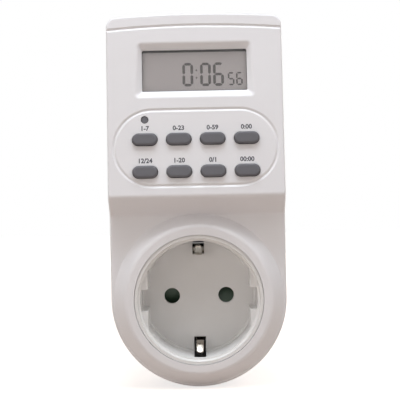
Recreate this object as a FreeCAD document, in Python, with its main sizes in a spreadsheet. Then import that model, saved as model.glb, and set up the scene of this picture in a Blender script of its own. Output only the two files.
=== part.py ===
import FreeCAD, Part

# Plug-in timer socket. It plugs into a wall outlet with two round pins, offers a round earthed outlet on
# its front, and has a control panel with a display and keys above it.
#
# Frame: +Z runs up the housing, the front faces -Y, and the origin is the centre of the plug's face, where
# the pins stand out towards +Y. "Ahead" is the distance in front of the plug's face, so y = -ahead.
# The sloping face has its own frame: x across, "up" along the face from its lower edge, and "deep" behind it.

import math
import os
from types import SimpleNamespace

import Sketcher

SIZES = {
    # Plug
    "pin_spacing": 19.0,
    "pin_diameter": 4.8,
    "pin_length": 19.0,
    "pin_tip_round": 1.6,
    "pin_shank_radius": 2.0,
    "pin_collar_radius": 3.5,
    "pin_collar_thickness": 1.2,
    "pin_tail_radius": 1.6,
    "live_tail_length": 4.0,
    "boss_wall": 3.5,
    "boss_flat_cut": 1.8,
    "boss_length": 17.5,
    "plug_face_wall": 2.5,
    "earth_notch_width": 6.4,
    "earth_notch_depth": 1.9,
    "earth_notch_run_out": 2.0,
    # Housing
    "half_width": 30.2,
    "top": 97.5,
    "top_arch_radius": 360.0,
    "top_corner_radius": 3.5,
    "wall": 2.4,
    "rear_wall": 2.2,
    "base_wall": 4.5,
    "draft": 1.6,
    "parting_ahead": 33.0,
    "seam_bevel": 0.3,
    "base_ahead": 48.5,
    "foot_height": 28.6,
    "step_reach": 8.07,
    "step_height": 5.9,
    "step_foot_round": 1.4,
    "step_edge_round": 2.0,
    "face_tilt": 8.0,
    "front_edge_round": 0.8,
    "rear_edge_round": 2.2,
    # Collar round the well
    "collar_height": 4.5,
    "collar_rim_width": 3.2,
    "collar_margin": 0.1,
    "collar_edge_round": 1.8,
    # Well of the outlet
    "cavity_depth": 17.5,
    "cavity_radius": 19.8,
    "insert_wall": 1.5,
    "floor_thickness": 2.0,
    "flange_lip": 0.4,
    "flange_thickness": 1.7,
    "rim_recess": 0.3,
    "lip_round": 0.9,
    "floor_round": 0.8,
    "gate_mark_radius": 3.4,
    "gate_mark_depth": 0.15,
    "fit_gap": 0.15,
    "pin_hole_diameter": 5.5,
    "guide_depth": 2.5,
    "guide_slot": 7.4,
    "guide_top_gap": 2.0,
    "earth_slot_width": 4.1,
    "earth_slot_start": 14.5,
    "earth_slot_height": 13.0,
    # Shutter behind the well's floor
    "shutter_space": 1.4,
    "skirt_wall": 1.2,
    "skirt_length": 5.6,
    "skirt_gap_width": 6.0,
    "tongue_space": 1.6,
    "pivot_radius": 1.5,
    "pivot_clearance": 0.05,
    "shutter_gap": 0.3,
    "shutter_thickness": 1.4,
    "shutter_ramp": 2.0,
    "shutter_radius": 13.4,
    "shutter_hub_radius": 3.6,
    "shutter_neck": 4.2,
    "shutter_wing_start": 6.2,
    "shutter_half_angle": 19.5,
    "retainer_thickness": 1.3,
    "spring_wire": 0.4,
    "spring_coil_radius": 2.5,
    "spring_turns": 2.0,
    "spring_leg": 2.6,
    # Contact carrier and contacts
    "carrier_gap": 0.4,
    "carrier_margin": 0.3,
    "carrier_plate": 2.5,
    "carrier_base": 4.4,
    "carrier_leg_inset": 3.2,
    "carrier_leg_width": 9.0,
    "carrier_leg_thickness": 2.4,
    "tower_radius": 5.0,
    "tower_depth": 14.0,
    "tower_gap": 0.5,
    "bridge_width": 4.4,
    "bridge_height": 14.0,
    "sleeve_bore_radius": 2.5,
    "sleeve_wall": 0.6,
    "sleeve_length": 13.0,
    "sleeve_slit": 1.0,
    "sleeve_base": 1.0,
    "sleeve_clearance": 0.3,
    "strip_thickness": 0.8,
    "earth_strip_width": 5.0,
    "earth_strip_setback": 2.0,
    "earth_tongue_width": 2.6,
    "earth_bar_drop": 6.4,
    "earth_strip_gap": 0.1,
    "earth_tongue_height": 16.3,
    "earth_tongue_dip": 1.1,
    "earth_tongue_flare": 2.6,
    "earth_tongue_bend": 6.5,
    "earth_tongue_reach": 8.8,
    "earth_bend_radius": 1.2,
    # Screws
    "post_radius": 2.7,
    "post_clearance": 3.7,
    "top_post_inset": 6.0,
    "screw_radius": 1.4,
    "screw_head_radius": 2.6,
    "screw_head_height": 1.8,
    "screw_length": 16.0,
    "screw_sink": 9.0,
    "thread_gap": 0.03,
    "board_screw_radius": 0.9,
    "board_screw_head_radius": 1.9,
    "board_screw_head_height": 1.2,
    "board_screw_length": 5.0,
    # Key panel on the sloping face
    "panel_groove_depth": 0.35,
    "panel_groove_width": 1.4,
    "panel_groove_draft": 61.5,
    "oval_margin": 2.1,
    "oval_height": 27.2,
    "oval_centre": 16.8,
    "key_length": 8.3,
    "key_width": 4.0,
    "key_pitch": 11.35,
    "key_row_low": 8.7,
    "key_row_high": 19.7,
    "key_gap": 0.2,
    "key_proud": 1.3,
    "key_edge_round": 0.7,
    "key_travel": 0.8,
    "key_flange": 0.7,
    "key_flange_thickness": 0.9,
    "key_stem_radius": 1.6,
    "key_stem_length": 0.8,
    "dome_clearance": 0.1,
    "reset_across": 17.0,
    "reset_height": 26.5,
    "reset_radius": 1.1,
    "reset_recess": 0.2,
    "reset_travel": 0.5,
    "dome_radius": 2.6,
    "mat_thickness": 1.0,
    "top_line_drop": 4.7,
    "top_line_arch_radius": 336.0,
    # Display
    "window_side": 12.4,
    "window_height": 14.4,
    "window_centre": 43.7,
    "recess_side_above": 1.2,
    "recess_side_below": 2.4,
    "recess_above": 2.05,
    "recess_below": 2.4,
    "recess_edge_round": 1.5,
    "recess_depth": 1.6,
    "recess_corner": 1.2,
    "lens_margin": 2.0,
    "lens_thickness": 1.1,
    "glass_margin": 1.4,
    "glass_gap": 0.3,
    "glass_thickness": 2.2,
    "glass_ledge": 2.2,
    "frame_wall": 1.1,
    "zebra_width": 1.8,
    # Boards
    "board_deep": 8.2,
    "board_thickness": 1.6,
    "display_board_gap": 2.6,
    "display_board_bottom": 3.5,
    "display_board_top": 54.1,
    "board_post_radius": 1.9,
    "board_post_low": 31.1,
    "board_post_high": 51.8,
    "power_board_ahead": 22.7,
    "power_board_gap": 1.8,
    "power_board_bottom": 34.0,
    "power_board_drop": 11.5,
    "power_post_side": 4.0,
    "power_post_inset": 5.0,
    "power_post_radius": 2.6,
    # Parts on the boards
    "relay_width": 15.4,
    "relay_length": 19.0,
    "relay_height": 15.2,
    "film_capacitor_width": 8.5,
    "film_capacitor_length": 18.0,
    "film_capacitor_height": 14.5,
    "electrolytic_radius": 5.0,
    "electrolytic_height": 13.0,
    "can_groove_height": 1.7,
    "can_groove_depth": 0.45,
    "varistor_radius": 4.6,
    "varistor_thickness": 3.6,
    "resistor_radius": 2.1,
    "resistor_length": 9.0,
    "battery_radius": 5.8,
    "battery_thickness": 5.2,
    "battery_across": -10.0,
    "battery_up": 14.0,
    "chip_radius": 5.0,
    "chip_across": 7.0,
    "chip_up": 20.5,
    "crystal_radius": 1.1,
    "crystal_length": 6.0,
    "crystal_across": -3.0,
    "crystal_up": 27.5,
    "part_gap": 0.4,
    "relay_drop": 13.0,
    "film_drop": 10.0,
    "electrolytic_across": 12.0,
    "electrolytic_gap": 5.75,
    "varistor_across": -18.0,
    "varistor_height": 54.0,
    "resistor_across": -3.0,
    "resistor_up": 53.5,
    "diode_across": 3.0,
    "diode_up": 40.5,
    "diode_pitch": 2.9,
    "diode_radius": 1.1,
    "diode_length": 5.0,
    "part_lift": 0.3,
    "part_edge_round": 0.8,
    "wire_radius": 0.9,
    "wire_bend_radius": 2.6,
    "wire_low_ahead": 6.0,
    "wire_out_drop": 4.9,
    "wire_high_ahead": 28.0,
    "wire_end_height": 37.0,
    "wire_out_across": 16.0,
    "live_wire_across": 10.0,
    "neutral_wire_across": 8.0,
    "wire_slot_width": 2.6,
    "wire_turn_height": 11.2,
    "wire_inset": 2.0,
    "ribbon_width": 8.0,
    "ribbon_across": 14.0,
    "ribbon_up": 6.5,
    "ribbon_end_height": 40.0,
    "ribbon_run": 7.0,
    "ribbon_thickness": 0.9,
}


class Dim:
    """A size that carries its number and the sheet expression that gives it."""

    def __init__(self, number, text):
        self.number = float(number)
        self.text = text

    def joined(self, sign, other, number):
        return Dim(number, f"({self.text} {sign} {dim(other).text})")

    def __float__(self):
        return self.number

    def __add__(self, other):
        return self.joined("+", other, self.number + float(other))

    def __radd__(self, other):
        return dim(other) + self

    def __sub__(self, other):
        return self.joined("-", other, self.number - float(other))

    def __rsub__(self, other):
        return dim(other) - self

    def __mul__(self, other):
        return self.joined("*", other, self.number * float(other))

    def __rmul__(self, other):
        return dim(other) * self

    def __truediv__(self, other):
        return self.joined("/", other, self.number / float(other))

    def __neg__(self):
        return dim(0) - self


def dim(value):
    """Wrap a plain number, and pass a size on as it is."""
    return value if isinstance(value, Dim) else Dim(value, f"({float(value)!r})")


def root(value):
    return Dim(math.sqrt(value.number), f"sqrt({value.text})")


def sine(angle):
    return Dim(math.sin(math.radians(angle.number)), f"sin({angle.text} * 1 deg)")


def cosine(angle):
    return Dim(math.cos(math.radians(angle.number)), f"cos({angle.text} * 1 deg)")


def tangent(angle):
    return Dim(math.tan(math.radians(angle.number)), f"tan({angle.text} * 1 deg)")


def half_tangent(slope):
    """Tangent of half the angle whose own tangent is slope."""
    return slope / (1 + root(1 + slope * slope))


doc = FreeCAD.newDocument("timer_socket")
sheet = doc.addObject("Spreadsheet::Sheet", "Size")
for row, (alias, number) in enumerate(SIZES.items(), 1):
    sheet.set(f"A{row}", alias)
    sheet.set(f"B{row}", str(number))
    sheet.setAlias(f"B{row}", alias)
doc.recompute()

size = SimpleNamespace(**{alias: Dim(number, f"Size.{alias}") for alias, number in SIZES.items()})
Vector = FreeCAD.Vector
pieces = []


# Helpers for sketches


def bind(target, path, value):
    """Bind a property to the sheet."""
    target.setExpression(path, dim(value).text)


def sketch_on(body, role, name, lift=0, up=0, tilted=False):
    """Put a sketch on one of the body's own planes, lifted along its normal and moved up in the plane.

    On the XZ plane the normal points ahead. A tilted one lies in the sloping face, and its lift is measured
    from there.
    """
    sketch = body.newObject("Sketcher::SketchObject", name)
    plane = next(feature for feature in body.Origin.OriginFeatures if feature.Role == role)
    sketch.AttachmentSupport = [(plane, "")]
    sketch.MapMode = "FlatFace"
    if tilted:
        turn = FreeCAD.Rotation(Vector(-1, 0, 0), size.face_tilt.number)
        sketch.AttachmentOffset = FreeCAD.Placement(Vector(), turn)
        bind(sketch, "AttachmentOffset.Rotation.Angle", Dim(0, f"{size.face_tilt.text} * 1 deg"))
        up = face_bottom + lift * sine(size.face_tilt)
        lift = face_ahead + lift * cosine(size.face_tilt)
    bind(sketch, "AttachmentOffset.Base.y", up)
    bind(sketch, "AttachmentOffset.Base.z", lift)
    return sketch


def hold(sketch, edge, end, x, y):
    """Hold a point of a sketch by its two distances from the sketch's origin."""
    for kind, distance in (("DistanceX", x), ("DistanceY", y)):
        distance = dim(distance)
        number = sketch.addConstraint(Sketcher.Constraint(kind, -1, 1, edge, end, distance.number))
        sketch.setExpression(f"Constraints[{number}]", distance.text)


def hold_radius(sketch, edge, radius):
    radius = dim(radius)
    number = sketch.addConstraint(Sketcher.Constraint("Radius", edge, radius.number))
    sketch.setExpression(f"Constraints[{number}]", radius.text)


def arc_between(start, end, radius):
    """The short arc from start to end, counterclockwise for a positive radius."""
    chord = end - start
    middle = (start + end) * 0.5
    reach = math.sqrt(max(radius * radius - chord.Length**2 / 4, 0))
    side = Vector(-chord.y, chord.x, 0) * (reach / chord.Length)
    centre = middle + side if radius > 0 else middle - side
    first, last = (start, end) if radius > 0 else (end, start)
    begin = math.atan2(first.y - centre.y, first.x - centre.x)
    finish = math.atan2(last.y - centre.y, last.x - centre.x)
    circle = Part.Circle(centre, Vector(0, 0, 1), abs(radius))
    return Part.ArcOfCircle(circle, begin, finish if finish > begin else finish + 2 * math.pi)


def outline(sketch, points, arcs=None):
    """Draw a closed outline through points.

    arcs gives an edge's radius by its number, negative where the edge turns clockwise.
    """
    arcs = arcs or {}
    corners = [Vector(float(x), float(y), 0) for x, y in points]
    edges = []
    for index, start in enumerate(corners):
        end = corners[(index + 1) % len(corners)]
        if index in arcs:
            shape = arc_between(start, end, float(arcs[index]))
        else:
            shape = Part.LineSegment(start, end)
        edges.append(sketch.addGeometry(shape, False))
    heads = [2 if index in arcs and float(arcs[index]) < 0 else 1 for index in range(len(corners))]
    for index, edge in enumerate(edges):
        after = (index + 1) % len(edges)
        link = Sketcher.Constraint("Coincident", edge, 3 - heads[index], edges[after], heads[after])
        sketch.addConstraint(link)
        hold(sketch, edge, heads[index], *points[index])
        if index in arcs:
            radius = dim(arcs[index])
            hold_radius(sketch, edge, radius if radius.number > 0 else -radius)


def circle(sketch, x, y, radius):
    shape = Part.Circle(Vector(float(x), float(y), 0), Vector(0, 0, 1), float(radius))
    edge = sketch.addGeometry(shape, False)
    hold(sketch, edge, 3, x, y)
    hold_radius(sketch, edge, radius)


def rectangle(sketch, x, y, width, height):
    right, top = dim(width) / 2, dim(height) / 2
    outline(sketch, [(x - right, y - top), (x + right, y - top), (x + right, y + top), (x - right, y + top)])


def rounded(sketch, x, y, width, height, radius):
    """A rectangle with round corners."""
    right, top = dim(width) / 2, dim(height) / 2
    flat, tall = right - radius, top - radius
    points = [(x - flat, y - top), (x + flat, y - top), (x + right, y - tall), (x + right, y + tall)]
    points += [(x + flat, y + top), (x - flat, y + top), (x - right, y + tall), (x - right, y - tall)]
    outline(sketch, points, {1: radius, 3: radius, 5: radius, 7: radius})


def flared(sketch, low, high, bottom, top, radius):
    """An outline with round corners that widens from its top down to its bottom."""
    lean = (bottom - top) / 2 / (high - low)
    along = root(1 + lean * lean)
    turn = half_tangent(lean)
    below = radius * (1 + turn) / (1 - turn)
    above = radius * (1 - turn) / (1 + turn)
    foot, head = bottom / 2, top / 2
    points = [(below - foot, low), (foot - below, low),
              (foot - below * lean / along, low + below / along),
              (head + above * lean / along, high - above / along), (head - above, high), (above - head, high),
              (-head - above * lean / along, high - above / along),
              (below * lean / along - foot, low + below / along)]
    outline(sketch, points, {1: radius, 3: radius, 5: radius, 7: radius})


def stadium(sketch, x, y, length, width):
    """A slot with round ends, each end drawn as two quarter arcs."""
    radius = dim(width) / 2
    flat = dim(length) / 2 - radius
    points = [(x - flat, y - radius), (x + flat, y - radius), (x + flat + radius, y)]
    points += [(x + flat, y + radius), (x - flat, y + radius), (x - flat - radius, y)]
    outline(sketch, points, {1: radius, 2: radius, 4: radius, 5: radius})


# Helpers for features


def new_body(name):
    body = doc.addObject("PartDesign::Body", name)
    body.Label = name
    pieces.append(body)
    return body


def extrusion(kind, body, name, sketch, length, reverse, both, taper):
    feature = body.newObject(f"PartDesign::{kind}", name)
    feature.Profile = sketch
    feature.Reversed = reverse
    bind(feature, "Length", length)
    if both:
        feature.SideType = "Symmetric"
    if taper is not None:
        bind(feature, "TaperAngle", taper)
    return feature


def pad(body, name, draw, length, lift=0, role="XZ_Plane", tilted=False, back=False, both=False, taper=None):
    """Add a prism from the sketch's plane along its normal, or backwards."""
    sketch = sketch_on(body, role, f"{name}_sketch", lift, tilted=tilted)
    draw(sketch)
    return extrusion("Pad", body, name, sketch, length, back, both, taper)


def pocket(body, name, draw, length, lift=0, role="XZ_Plane", tilted=False, ahead=False, both=False,
           taper=None):
    """Remove a prism from the sketch's plane backwards, or along its normal."""
    sketch = sketch_on(body, role, f"{name}_sketch", lift, tilted=tilted)
    draw(sketch)
    return extrusion("Pocket", body, name, sketch, length, ahead, both, taper)


def turned(body, name, profile, arcs=None, across=0, height=0, cut=False):
    """Turn a profile of (ahead, radius) points about a line that runs ahead, through (across, height)."""
    sketch = sketch_on(body, "YZ_Plane", f"{name}_sketch", across, up=height)
    mirrored = {edge: -dim(radius) for edge, radius in (arcs or {}).items()}
    outline(sketch, [(-dim(ahead), radius) for ahead, radius in profile], mirrored)
    feature = body.newObject("PartDesign::Groove" if cut else "PartDesign::Revolution", name)
    feature.Profile = sketch
    feature.ReferenceAxis = (sketch, ["H_Axis"])
    feature.Angle = 360
    return feature


def side_outline(sketch, points, arcs=None):
    """Draw an outline of (ahead, height) points, seen from the side."""
    outline(sketch, [(-dim(ahead), height) for ahead, height in points], arcs)


def along_edge(edge):
    """Seven points spread along an edge."""
    first, last = edge.FirstParameter, edge.LastParameter
    return [edge.valueAt(first + (last - first) * step / 6) for step in range(7)]


def soften(body, name, radius, pick, kind="Fillet"):
    """Round or bevel the edges of the body whose every point passes pick."""
    doc.recompute()
    base = body.Tip
    names = []
    for number, edge in enumerate(base.Shape.Edges, 1):
        if not edge.Degenerated and all(pick(point) for point in along_edge(edge)):
            names.append(f"Edge{number}")
    if not names:
        raise ValueError(f"{name} finds no edge")
    feature = body.newObject(f"PartDesign::{kind}", name)
    feature.Base = (base, names)
    bind(feature, "Radius" if kind == "Fillet" else "Size", radius)
    return feature


def near(first, second, margin=0.02):
    return abs(float(first) - float(second)) < margin


def draw_in(body, name, parting, ahead):
    """Give the side walls their draft, so that they draw in away from the parting plane."""
    doc.recompute()
    base = body.Tip
    walls, neutral = [], []
    for number, face in enumerate(base.Shape.Faces, 1):
        across = abs(face.normalAt(0, 0).y) < 0.01
        if across:
            walls.append(f"Face{number}")
        elif near(-face.CenterOfMass.y, parting):
            neutral.append(f"Face{number}")
    feature = body.newObject("PartDesign::Draft", name)
    feature.Base = (base, walls)
    feature.NeutralPlane = (base, neutral)
    feature.Reversed = ahead
    bind(feature, "Angle", size.draft)
    doc.recompute()
    feature.touch()
    doc.recompute()


def on_face(part):
    """Stand a part in the sloping face's frame."""
    part.Placement = FreeCAD.Placement(Vector(), FreeCAD.Rotation(Vector(-1, 0, 0), size.face_tilt.number))
    bind(part, "Placement.Rotation.Angle", Dim(0, f"{size.face_tilt.text} * 1 deg"))
    bind(part, "Placement.Base.y", -face_ahead)
    bind(part, "Placement.Base.z", face_bottom)


def feature_from(name, shape):
    """A sub-part whose shape is worked out here from the sheet's sizes."""
    part = doc.addObject("Part::Feature", name)
    part.Label = name
    part.Shape = shape
    pieces.append(part)
    return part


# Places that several pieces share

pin_across = size.pin_spacing / 2
rim_ahead = size.base_ahead + size.collar_height
floor_ahead = rim_ahead - size.cavity_depth
floor_back = floor_ahead - size.floor_thickness
insert_top = rim_ahead - size.rim_recess
insert_radius = size.cavity_radius + size.insert_wall
flange_radius = insert_radius + size.flange_lip
rim_radius = flange_radius + size.collar_rim_width
boss_core = pin_across + size.tower_radius + size.carrier_gap + size.carrier_margin
boss_radius = boss_core + size.boss_wall
carrier_radius = boss_core - size.carrier_gap
skirt_inner = size.shutter_radius + size.shutter_space
skirt_back = floor_back - size.skirt_length
tower_top = skirt_back - size.tower_gap
carrier_seat = tower_top - size.tower_depth
carrier_bottom = carrier_seat - size.carrier_base
earth_bar = tower_top - size.earth_bar_drop
earth_leg = boss_radius - size.earth_notch_depth + size.earth_strip_gap + size.strip_thickness / 2
wire_out = tower_top - size.wire_out_drop
cavity_ahead = size.base_ahead - size.base_wall
face_ahead = size.base_ahead + size.step_reach
face_bottom = size.foot_height + size.step_height
face_length = (size.top - face_bottom) / cosine(size.face_tilt)
wall_slope = tangent(size.draft)
face_slope = tangent(size.face_tilt)
low_post = (insert_radius + size.post_clearance) / root(dim(2))
top_post = (size.half_width - size.top_post_inset, size.top - size.top_post_inset)
screw_seat = size.boss_length + size.screw_sink
window_width = (size.half_width - size.window_side) * 2
display_width = (size.half_width - size.wall - size.display_board_gap) * 2
power_width = (size.half_width - size.wall - size.power_board_gap) * 2
power_top = size.top - size.power_board_drop
board_pilot = size.board_screw_radius + size.thread_gap
key_columns = [(column - 1.5) * size.key_pitch for column in range(4)]
key_places = [(x, up) for up in (size.key_row_high, size.key_row_low) for x in key_columns]
screw_places = [(side * low_post, -low_post) for side in (-1, 1)]
screw_places += [(side * top_post[0], top_post[1]) for side in (-1, 1)]
board_posts = [(side * (display_width / 2 - size.board_post_radius), up) for side in (-1, 1)
               for up in (size.board_post_low, size.board_post_high)]
power_post = power_width / 2 - size.power_post_side
power_posts = [(side * power_post, height) for side in (-1, 1)
               for height in (size.power_board_bottom + size.power_post_inset,
                              power_top - size.power_post_inset)]


def face_ahead_at(height):
    """How far ahead the sloping face lies at a height."""
    return face_ahead - (height - face_bottom) * face_slope


def housing_outline(sketch, inset=0):
    """Round below, straight at the sides, slightly arched on top."""
    half = size.half_width - inset
    top = size.top - inset
    corner = top - size.top_arch_radius + root(size.top_arch_radius * size.top_arch_radius - half * half)
    points = [(-half, 0), (0, -half), (half, 0), (half, corner), (0, top), (-half, corner)]
    outline(sketch, points, {0: half, 1: half, 3: size.top_arch_radius, 4: size.top_arch_radius})


# Housing


def front_housing():
    """Front shell: drafted walls, a step, the sloping face and the collar round the well."""
    body = new_body("front_housing")
    reach = face_ahead - size.parting_ahead + 1
    pad(body, "front_walls", housing_outline, reach, lift=size.parting_ahead)

    draw_in(body, "front_draft", size.parting_ahead, ahead=True)
    soften(body, "front_top_corners", size.top_corner_radius, top_corner)

    above = size.top + size.half_width
    below = -size.half_width * 2
    beyond = face_ahead * 2
    lean = size.step_reach / size.step_height
    along = root(1 + lean * lean)
    foot = size.step_foot_round * half_tangent(lean)
    edge = size.step_edge_round * half_tangent((lean + face_slope) / (1 - lean * face_slope))
    profile = [(size.base_ahead, below), (size.base_ahead, size.foot_height - foot),
               (size.base_ahead + foot * lean / along, size.foot_height + foot / along),
               (face_ahead - edge * lean / along, face_bottom - edge / along),
               (face_ahead - edge * sine(size.face_tilt), face_bottom + edge * cosine(size.face_tilt)),
               (face_ahead_at(above), above), (beyond, above), (beyond, below)]
    pocket(body, "front_profile",
           lambda s: side_outline(s, profile, {1: size.step_foot_round, 3: -size.step_edge_round}),
           size.half_width * 3, role="YZ_Plane", both=True)

    def front_edge(point):
        ahead = -point.y
        on_base = near(ahead, size.base_ahead) and point.z < size.foot_height.number
        on_face = near(ahead, face_ahead_at(dim(point.z))) and point.z > face_bottom.number
        line = near(point.z, profile[1][1]) or near(point.z, profile[4][1])
        return (on_base or on_face) and not line

    soften(body, "front_edges", size.front_edge_round, front_edge)

    base_radius = size.half_width - (size.base_ahead - size.parting_ahead) * wall_slope
    foot_radius = base_radius - size.front_edge_round - size.collar_margin
    collar = [(cavity_ahead, 0), (cavity_ahead, foot_radius), (size.base_ahead, foot_radius),
              (rim_ahead, rim_radius), (rim_ahead, 0)]
    turned(body, "collar", collar)
    soften(body, "collar_edge", size.collar_edge_round,
           lambda p: near(-p.y, rim_ahead) and near(math.hypot(p.x, p.z), rim_radius))

    hollow_front(body)
    front_posts(body)
    well_bore(body)
    face_cuts(body)
    soften(body, "front_seam", size.seam_bevel, outer_seam, kind="Chamfer")
    return body


def top_corner(point):
    drawn_in = (face_ahead.number - size.parting_ahead.number + 1) * wall_slope.number + 0.02
    return abs(point.x) > size.half_width.number - drawn_in and point.z > size.top.number - drawn_in - 2


def outer_seam(point):
    """Tell whether a point lies on the housing's outer edge in the parting plane."""
    half, corner = size.half_width.number, size.top_corner_radius.number
    arch = size.top_arch_radius.number
    arch_centre = size.top.number - arch
    side_top = arch_centre + math.sqrt(arch * arch - half * half)
    if not near(-point.y, size.parting_ahead):
        return False
    if point.z < 0:
        return near(math.hypot(point.x, point.z), half)
    on_side = near(abs(point.x), half)
    on_arch = near(math.hypot(point.x, point.z - arch_centre), arch)
    in_corner = abs(point.x) > half - corner * 1.1 and point.z > side_top - corner * 1.1
    return on_side or on_arch or in_corner


def hollow_front(body):
    """Hollow the shell from behind, straight first and then up to the sloping face."""
    pocket(body, "front_hollow", lambda s: housing_outline(s, size.wall),
           cavity_ahead - size.parting_ahead, lift=size.parting_ahead, ahead=True)
    lean = size.step_reach / size.step_height
    step_wall = size.wall * root(1 + lean * lean)
    face_wall = size.wall / cosine(size.face_tilt)
    low = size.foot_height + (cavity_ahead - size.base_ahead + step_wall) / lean
    bend = (size.step_reach + lean * size.foot_height
            + face_slope * face_bottom + step_wall - face_wall) / (lean + face_slope)
    high = size.top - size.wall - size.top_corner_radius
    profile = [(cavity_ahead - 1, low), (cavity_ahead, low),
               (face_ahead_at(bend) - face_wall, bend), (face_ahead_at(high) - face_wall, high),
               (cavity_ahead - 1, high)]
    pocket(body, "face_hollow", lambda s: side_outline(s, profile),
           (size.half_width - size.wall) * 2, role="YZ_Plane", both=True)


def front_posts(body):
    """Posts that take the housing screws, and shorter ones behind the face for the display board."""
    low_length = cavity_ahead - size.parting_ahead + 1
    high_length = face_ahead_at(top_post[1]) - size.wall / 2 - size.parting_ahead
    for name, places, length in (("low_posts", screw_places[:2], low_length),
                                 ("high_posts", screw_places[2:], high_length)):
        pad(body, name, lambda s: [circle(s, x, z, size.post_radius) for x, z in places],
            length, lift=size.parting_ahead)
    pilot = size.screw_radius + size.thread_gap
    pocket(body, "post_pilots", lambda s: [circle(s, x, z, pilot) for x, z in screw_places],
           screw_seat + size.screw_length - size.parting_ahead, lift=size.parting_ahead, ahead=True)
    pad(body, "board_posts", lambda s: [circle(s, x, up, size.board_post_radius) for x, up in board_posts],
        size.board_deep - size.wall / 2, lift=-size.board_deep, tilted=True)
    pocket(body, "board_pilots", lambda s: [circle(s, x, up, board_pilot) for x, up in board_posts],
           size.board_screw_length, lift=-size.board_deep, tilted=True, ahead=True)


def well_bore(body):
    """Bore for the socket insert, with a ledge for its flange."""
    ledge = size.rim_recess + size.flange_thickness
    pocket(body, "flange_seat", lambda s: circle(s, 0, 0, flange_radius + size.fit_gap),
           ledge, lift=rim_ahead)
    pocket(body, "insert_bore", lambda s: circle(s, 0, 0, insert_radius + size.fit_gap),
           rim_ahead - size.parting_ahead, lift=rim_ahead)


def face_cuts(body):
    """Groove round the key panel, line under the top edge, display recess, and holes for the keys."""
    oval_length = (size.half_width - size.oval_margin) * 2
    pocket(body, "oval_groove", lambda s: stadium(s, 0, size.oval_centre, oval_length, size.oval_height),
           size.panel_groove_depth, tilted=True, taper=-size.panel_groove_draft)
    bottom = size.panel_groove_depth * tangent(size.panel_groove_draft)
    shrink = (size.panel_groove_width - bottom) * 2
    pad(body, "oval_panel",
        lambda s: stadium(s, 0, size.oval_centre, oval_length - shrink, size.oval_height - shrink),
        size.panel_groove_depth, lift=-size.panel_groove_depth, tilted=True, taper=-size.panel_groove_draft)
    pocket(body, "top_line", top_line, size.panel_groove_depth, tilted=True, taper=-size.panel_groove_draft)

    wide = sketch_on(body, "XZ_Plane", "recess_wide", 0, tilted=True)
    half = size.window_height / 2
    low, high = size.window_centre - half - size.recess_below, size.window_centre + half + size.recess_above
    bottom, top = window_width + 2 * size.recess_side_below, window_width + 2 * size.recess_side_above
    flared(wide, low, high, bottom, top, size.recess_corner)
    narrow = sketch_on(body, "XZ_Plane", "recess_narrow", -size.recess_depth, tilted=True)
    rounded(narrow, 0, size.window_centre, window_width, size.window_height, size.recess_corner / 3)
    recess = body.newObject("PartDesign::SubtractiveLoft", "display_recess")
    recess.Profile = wide
    recess.Sections = [narrow]
    recess.Ruled = True

    def recess_edge(point):
        up = (dim(point.z) - face_bottom) / cosine(size.face_tilt)
        inside = abs(point.x) < bottom.number / 2 + 0.1 and low.number - 0.1 < up.number < high.number + 0.1
        return inside and near(-point.y, face_ahead_at(dim(point.z)))

    soften(body, "recess_edge", size.recess_edge_round, recess_edge)
    pocket(body, "window",
           lambda s: rounded(s, 0, size.window_centre, window_width, size.window_height,
                             size.recess_corner / 3),
           size.wall, lift=-size.recess_depth / 2, tilted=True)

    def key_holes(sketch):
        for x, up in key_places:
            stadium(sketch, x, up, size.key_length + 2 * size.key_gap, size.key_width + 2 * size.key_gap)
        circle(sketch, -size.reset_across, size.reset_height, size.reset_radius + size.key_gap)

    pocket(body, "key_holes", key_holes, size.wall * 2, lift=size.wall / 2, tilted=True)


def top_line(sketch):
    """A thin arched strip across the whole face."""
    half = size.half_width + 1
    radius = size.top_line_arch_radius
    drop = radius - root(radius * radius - half * half)
    high = face_length - size.top_line_drop + size.panel_groove_width / 2
    low = high - size.panel_groove_width
    outline(sketch, [(-half, low - drop), (0, low), (half, low - drop), (half, high - drop), (0, high),
                     (-half, high - drop)], {0: -radius, 1: -radius, 3: radius, 4: radius})


def rear_housing():
    """Rear shell with the round plug body that enters the wall outlet."""
    body = new_body("rear_housing")
    depth = size.parting_ahead - size.boss_length
    pad(body, "rear_walls", housing_outline, depth, lift=size.parting_ahead, back=True)
    draw_in(body, "rear_draft", size.parting_ahead, ahead=False)
    soften(body, "rear_top_corners", size.top_corner_radius, top_corner)
    soften(body, "rear_edges", size.rear_edge_round, lambda p: near(-p.y, size.boss_length))
    soften(body, "rear_seam", size.seam_bevel, outer_seam, kind="Chamfer")
    pocket(body, "rear_hollow", lambda s: housing_outline(s, size.wall), depth - size.rear_wall,
           lift=size.parting_ahead)
    pad(body, "plug_boss", boss_outline, size.boss_length + size.rear_wall / 2)

    pocket(body, "boss_hollow", lambda s: circle(s, 0, 0, boss_core),
           size.parting_ahead - size.plug_face_wall, lift=size.parting_ahead)
    rear_posts(body)

    slot_depth = size.strip_thickness + 2 * size.fit_gap

    def notches(sketch):
        for side in (-1, 1):
            middle = boss_radius - size.earth_notch_depth / 2 + size.earth_notch_run_out / 2
            rectangle(sketch, 0, side * middle, size.earth_notch_width,
                      size.earth_notch_depth + size.earth_notch_run_out)

    def strip_slots(sketch):
        for side in (-1, 1):
            rectangle(sketch, 0, side * earth_leg, size.earth_strip_width + 2 * size.fit_gap, slot_depth)

    soften(body, "boss_rim", size.front_edge_round, lambda p: near(p.y, 0), kind="Chamfer")
    pocket(body, "earth_notches", notches, size.boss_length, ahead=True)
    pocket(body, "strip_slots", strip_slots, size.rear_wall * 2, lift=size.boss_length - 1, ahead=True)
    seat = size.pin_shank_radius + size.thread_gap
    pocket(body, "pin_seats", lambda s: [circle(s, side * pin_across, 0, seat) for side in (-1, 1)],
           size.plug_face_wall * 2, ahead=True)
    return body


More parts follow.
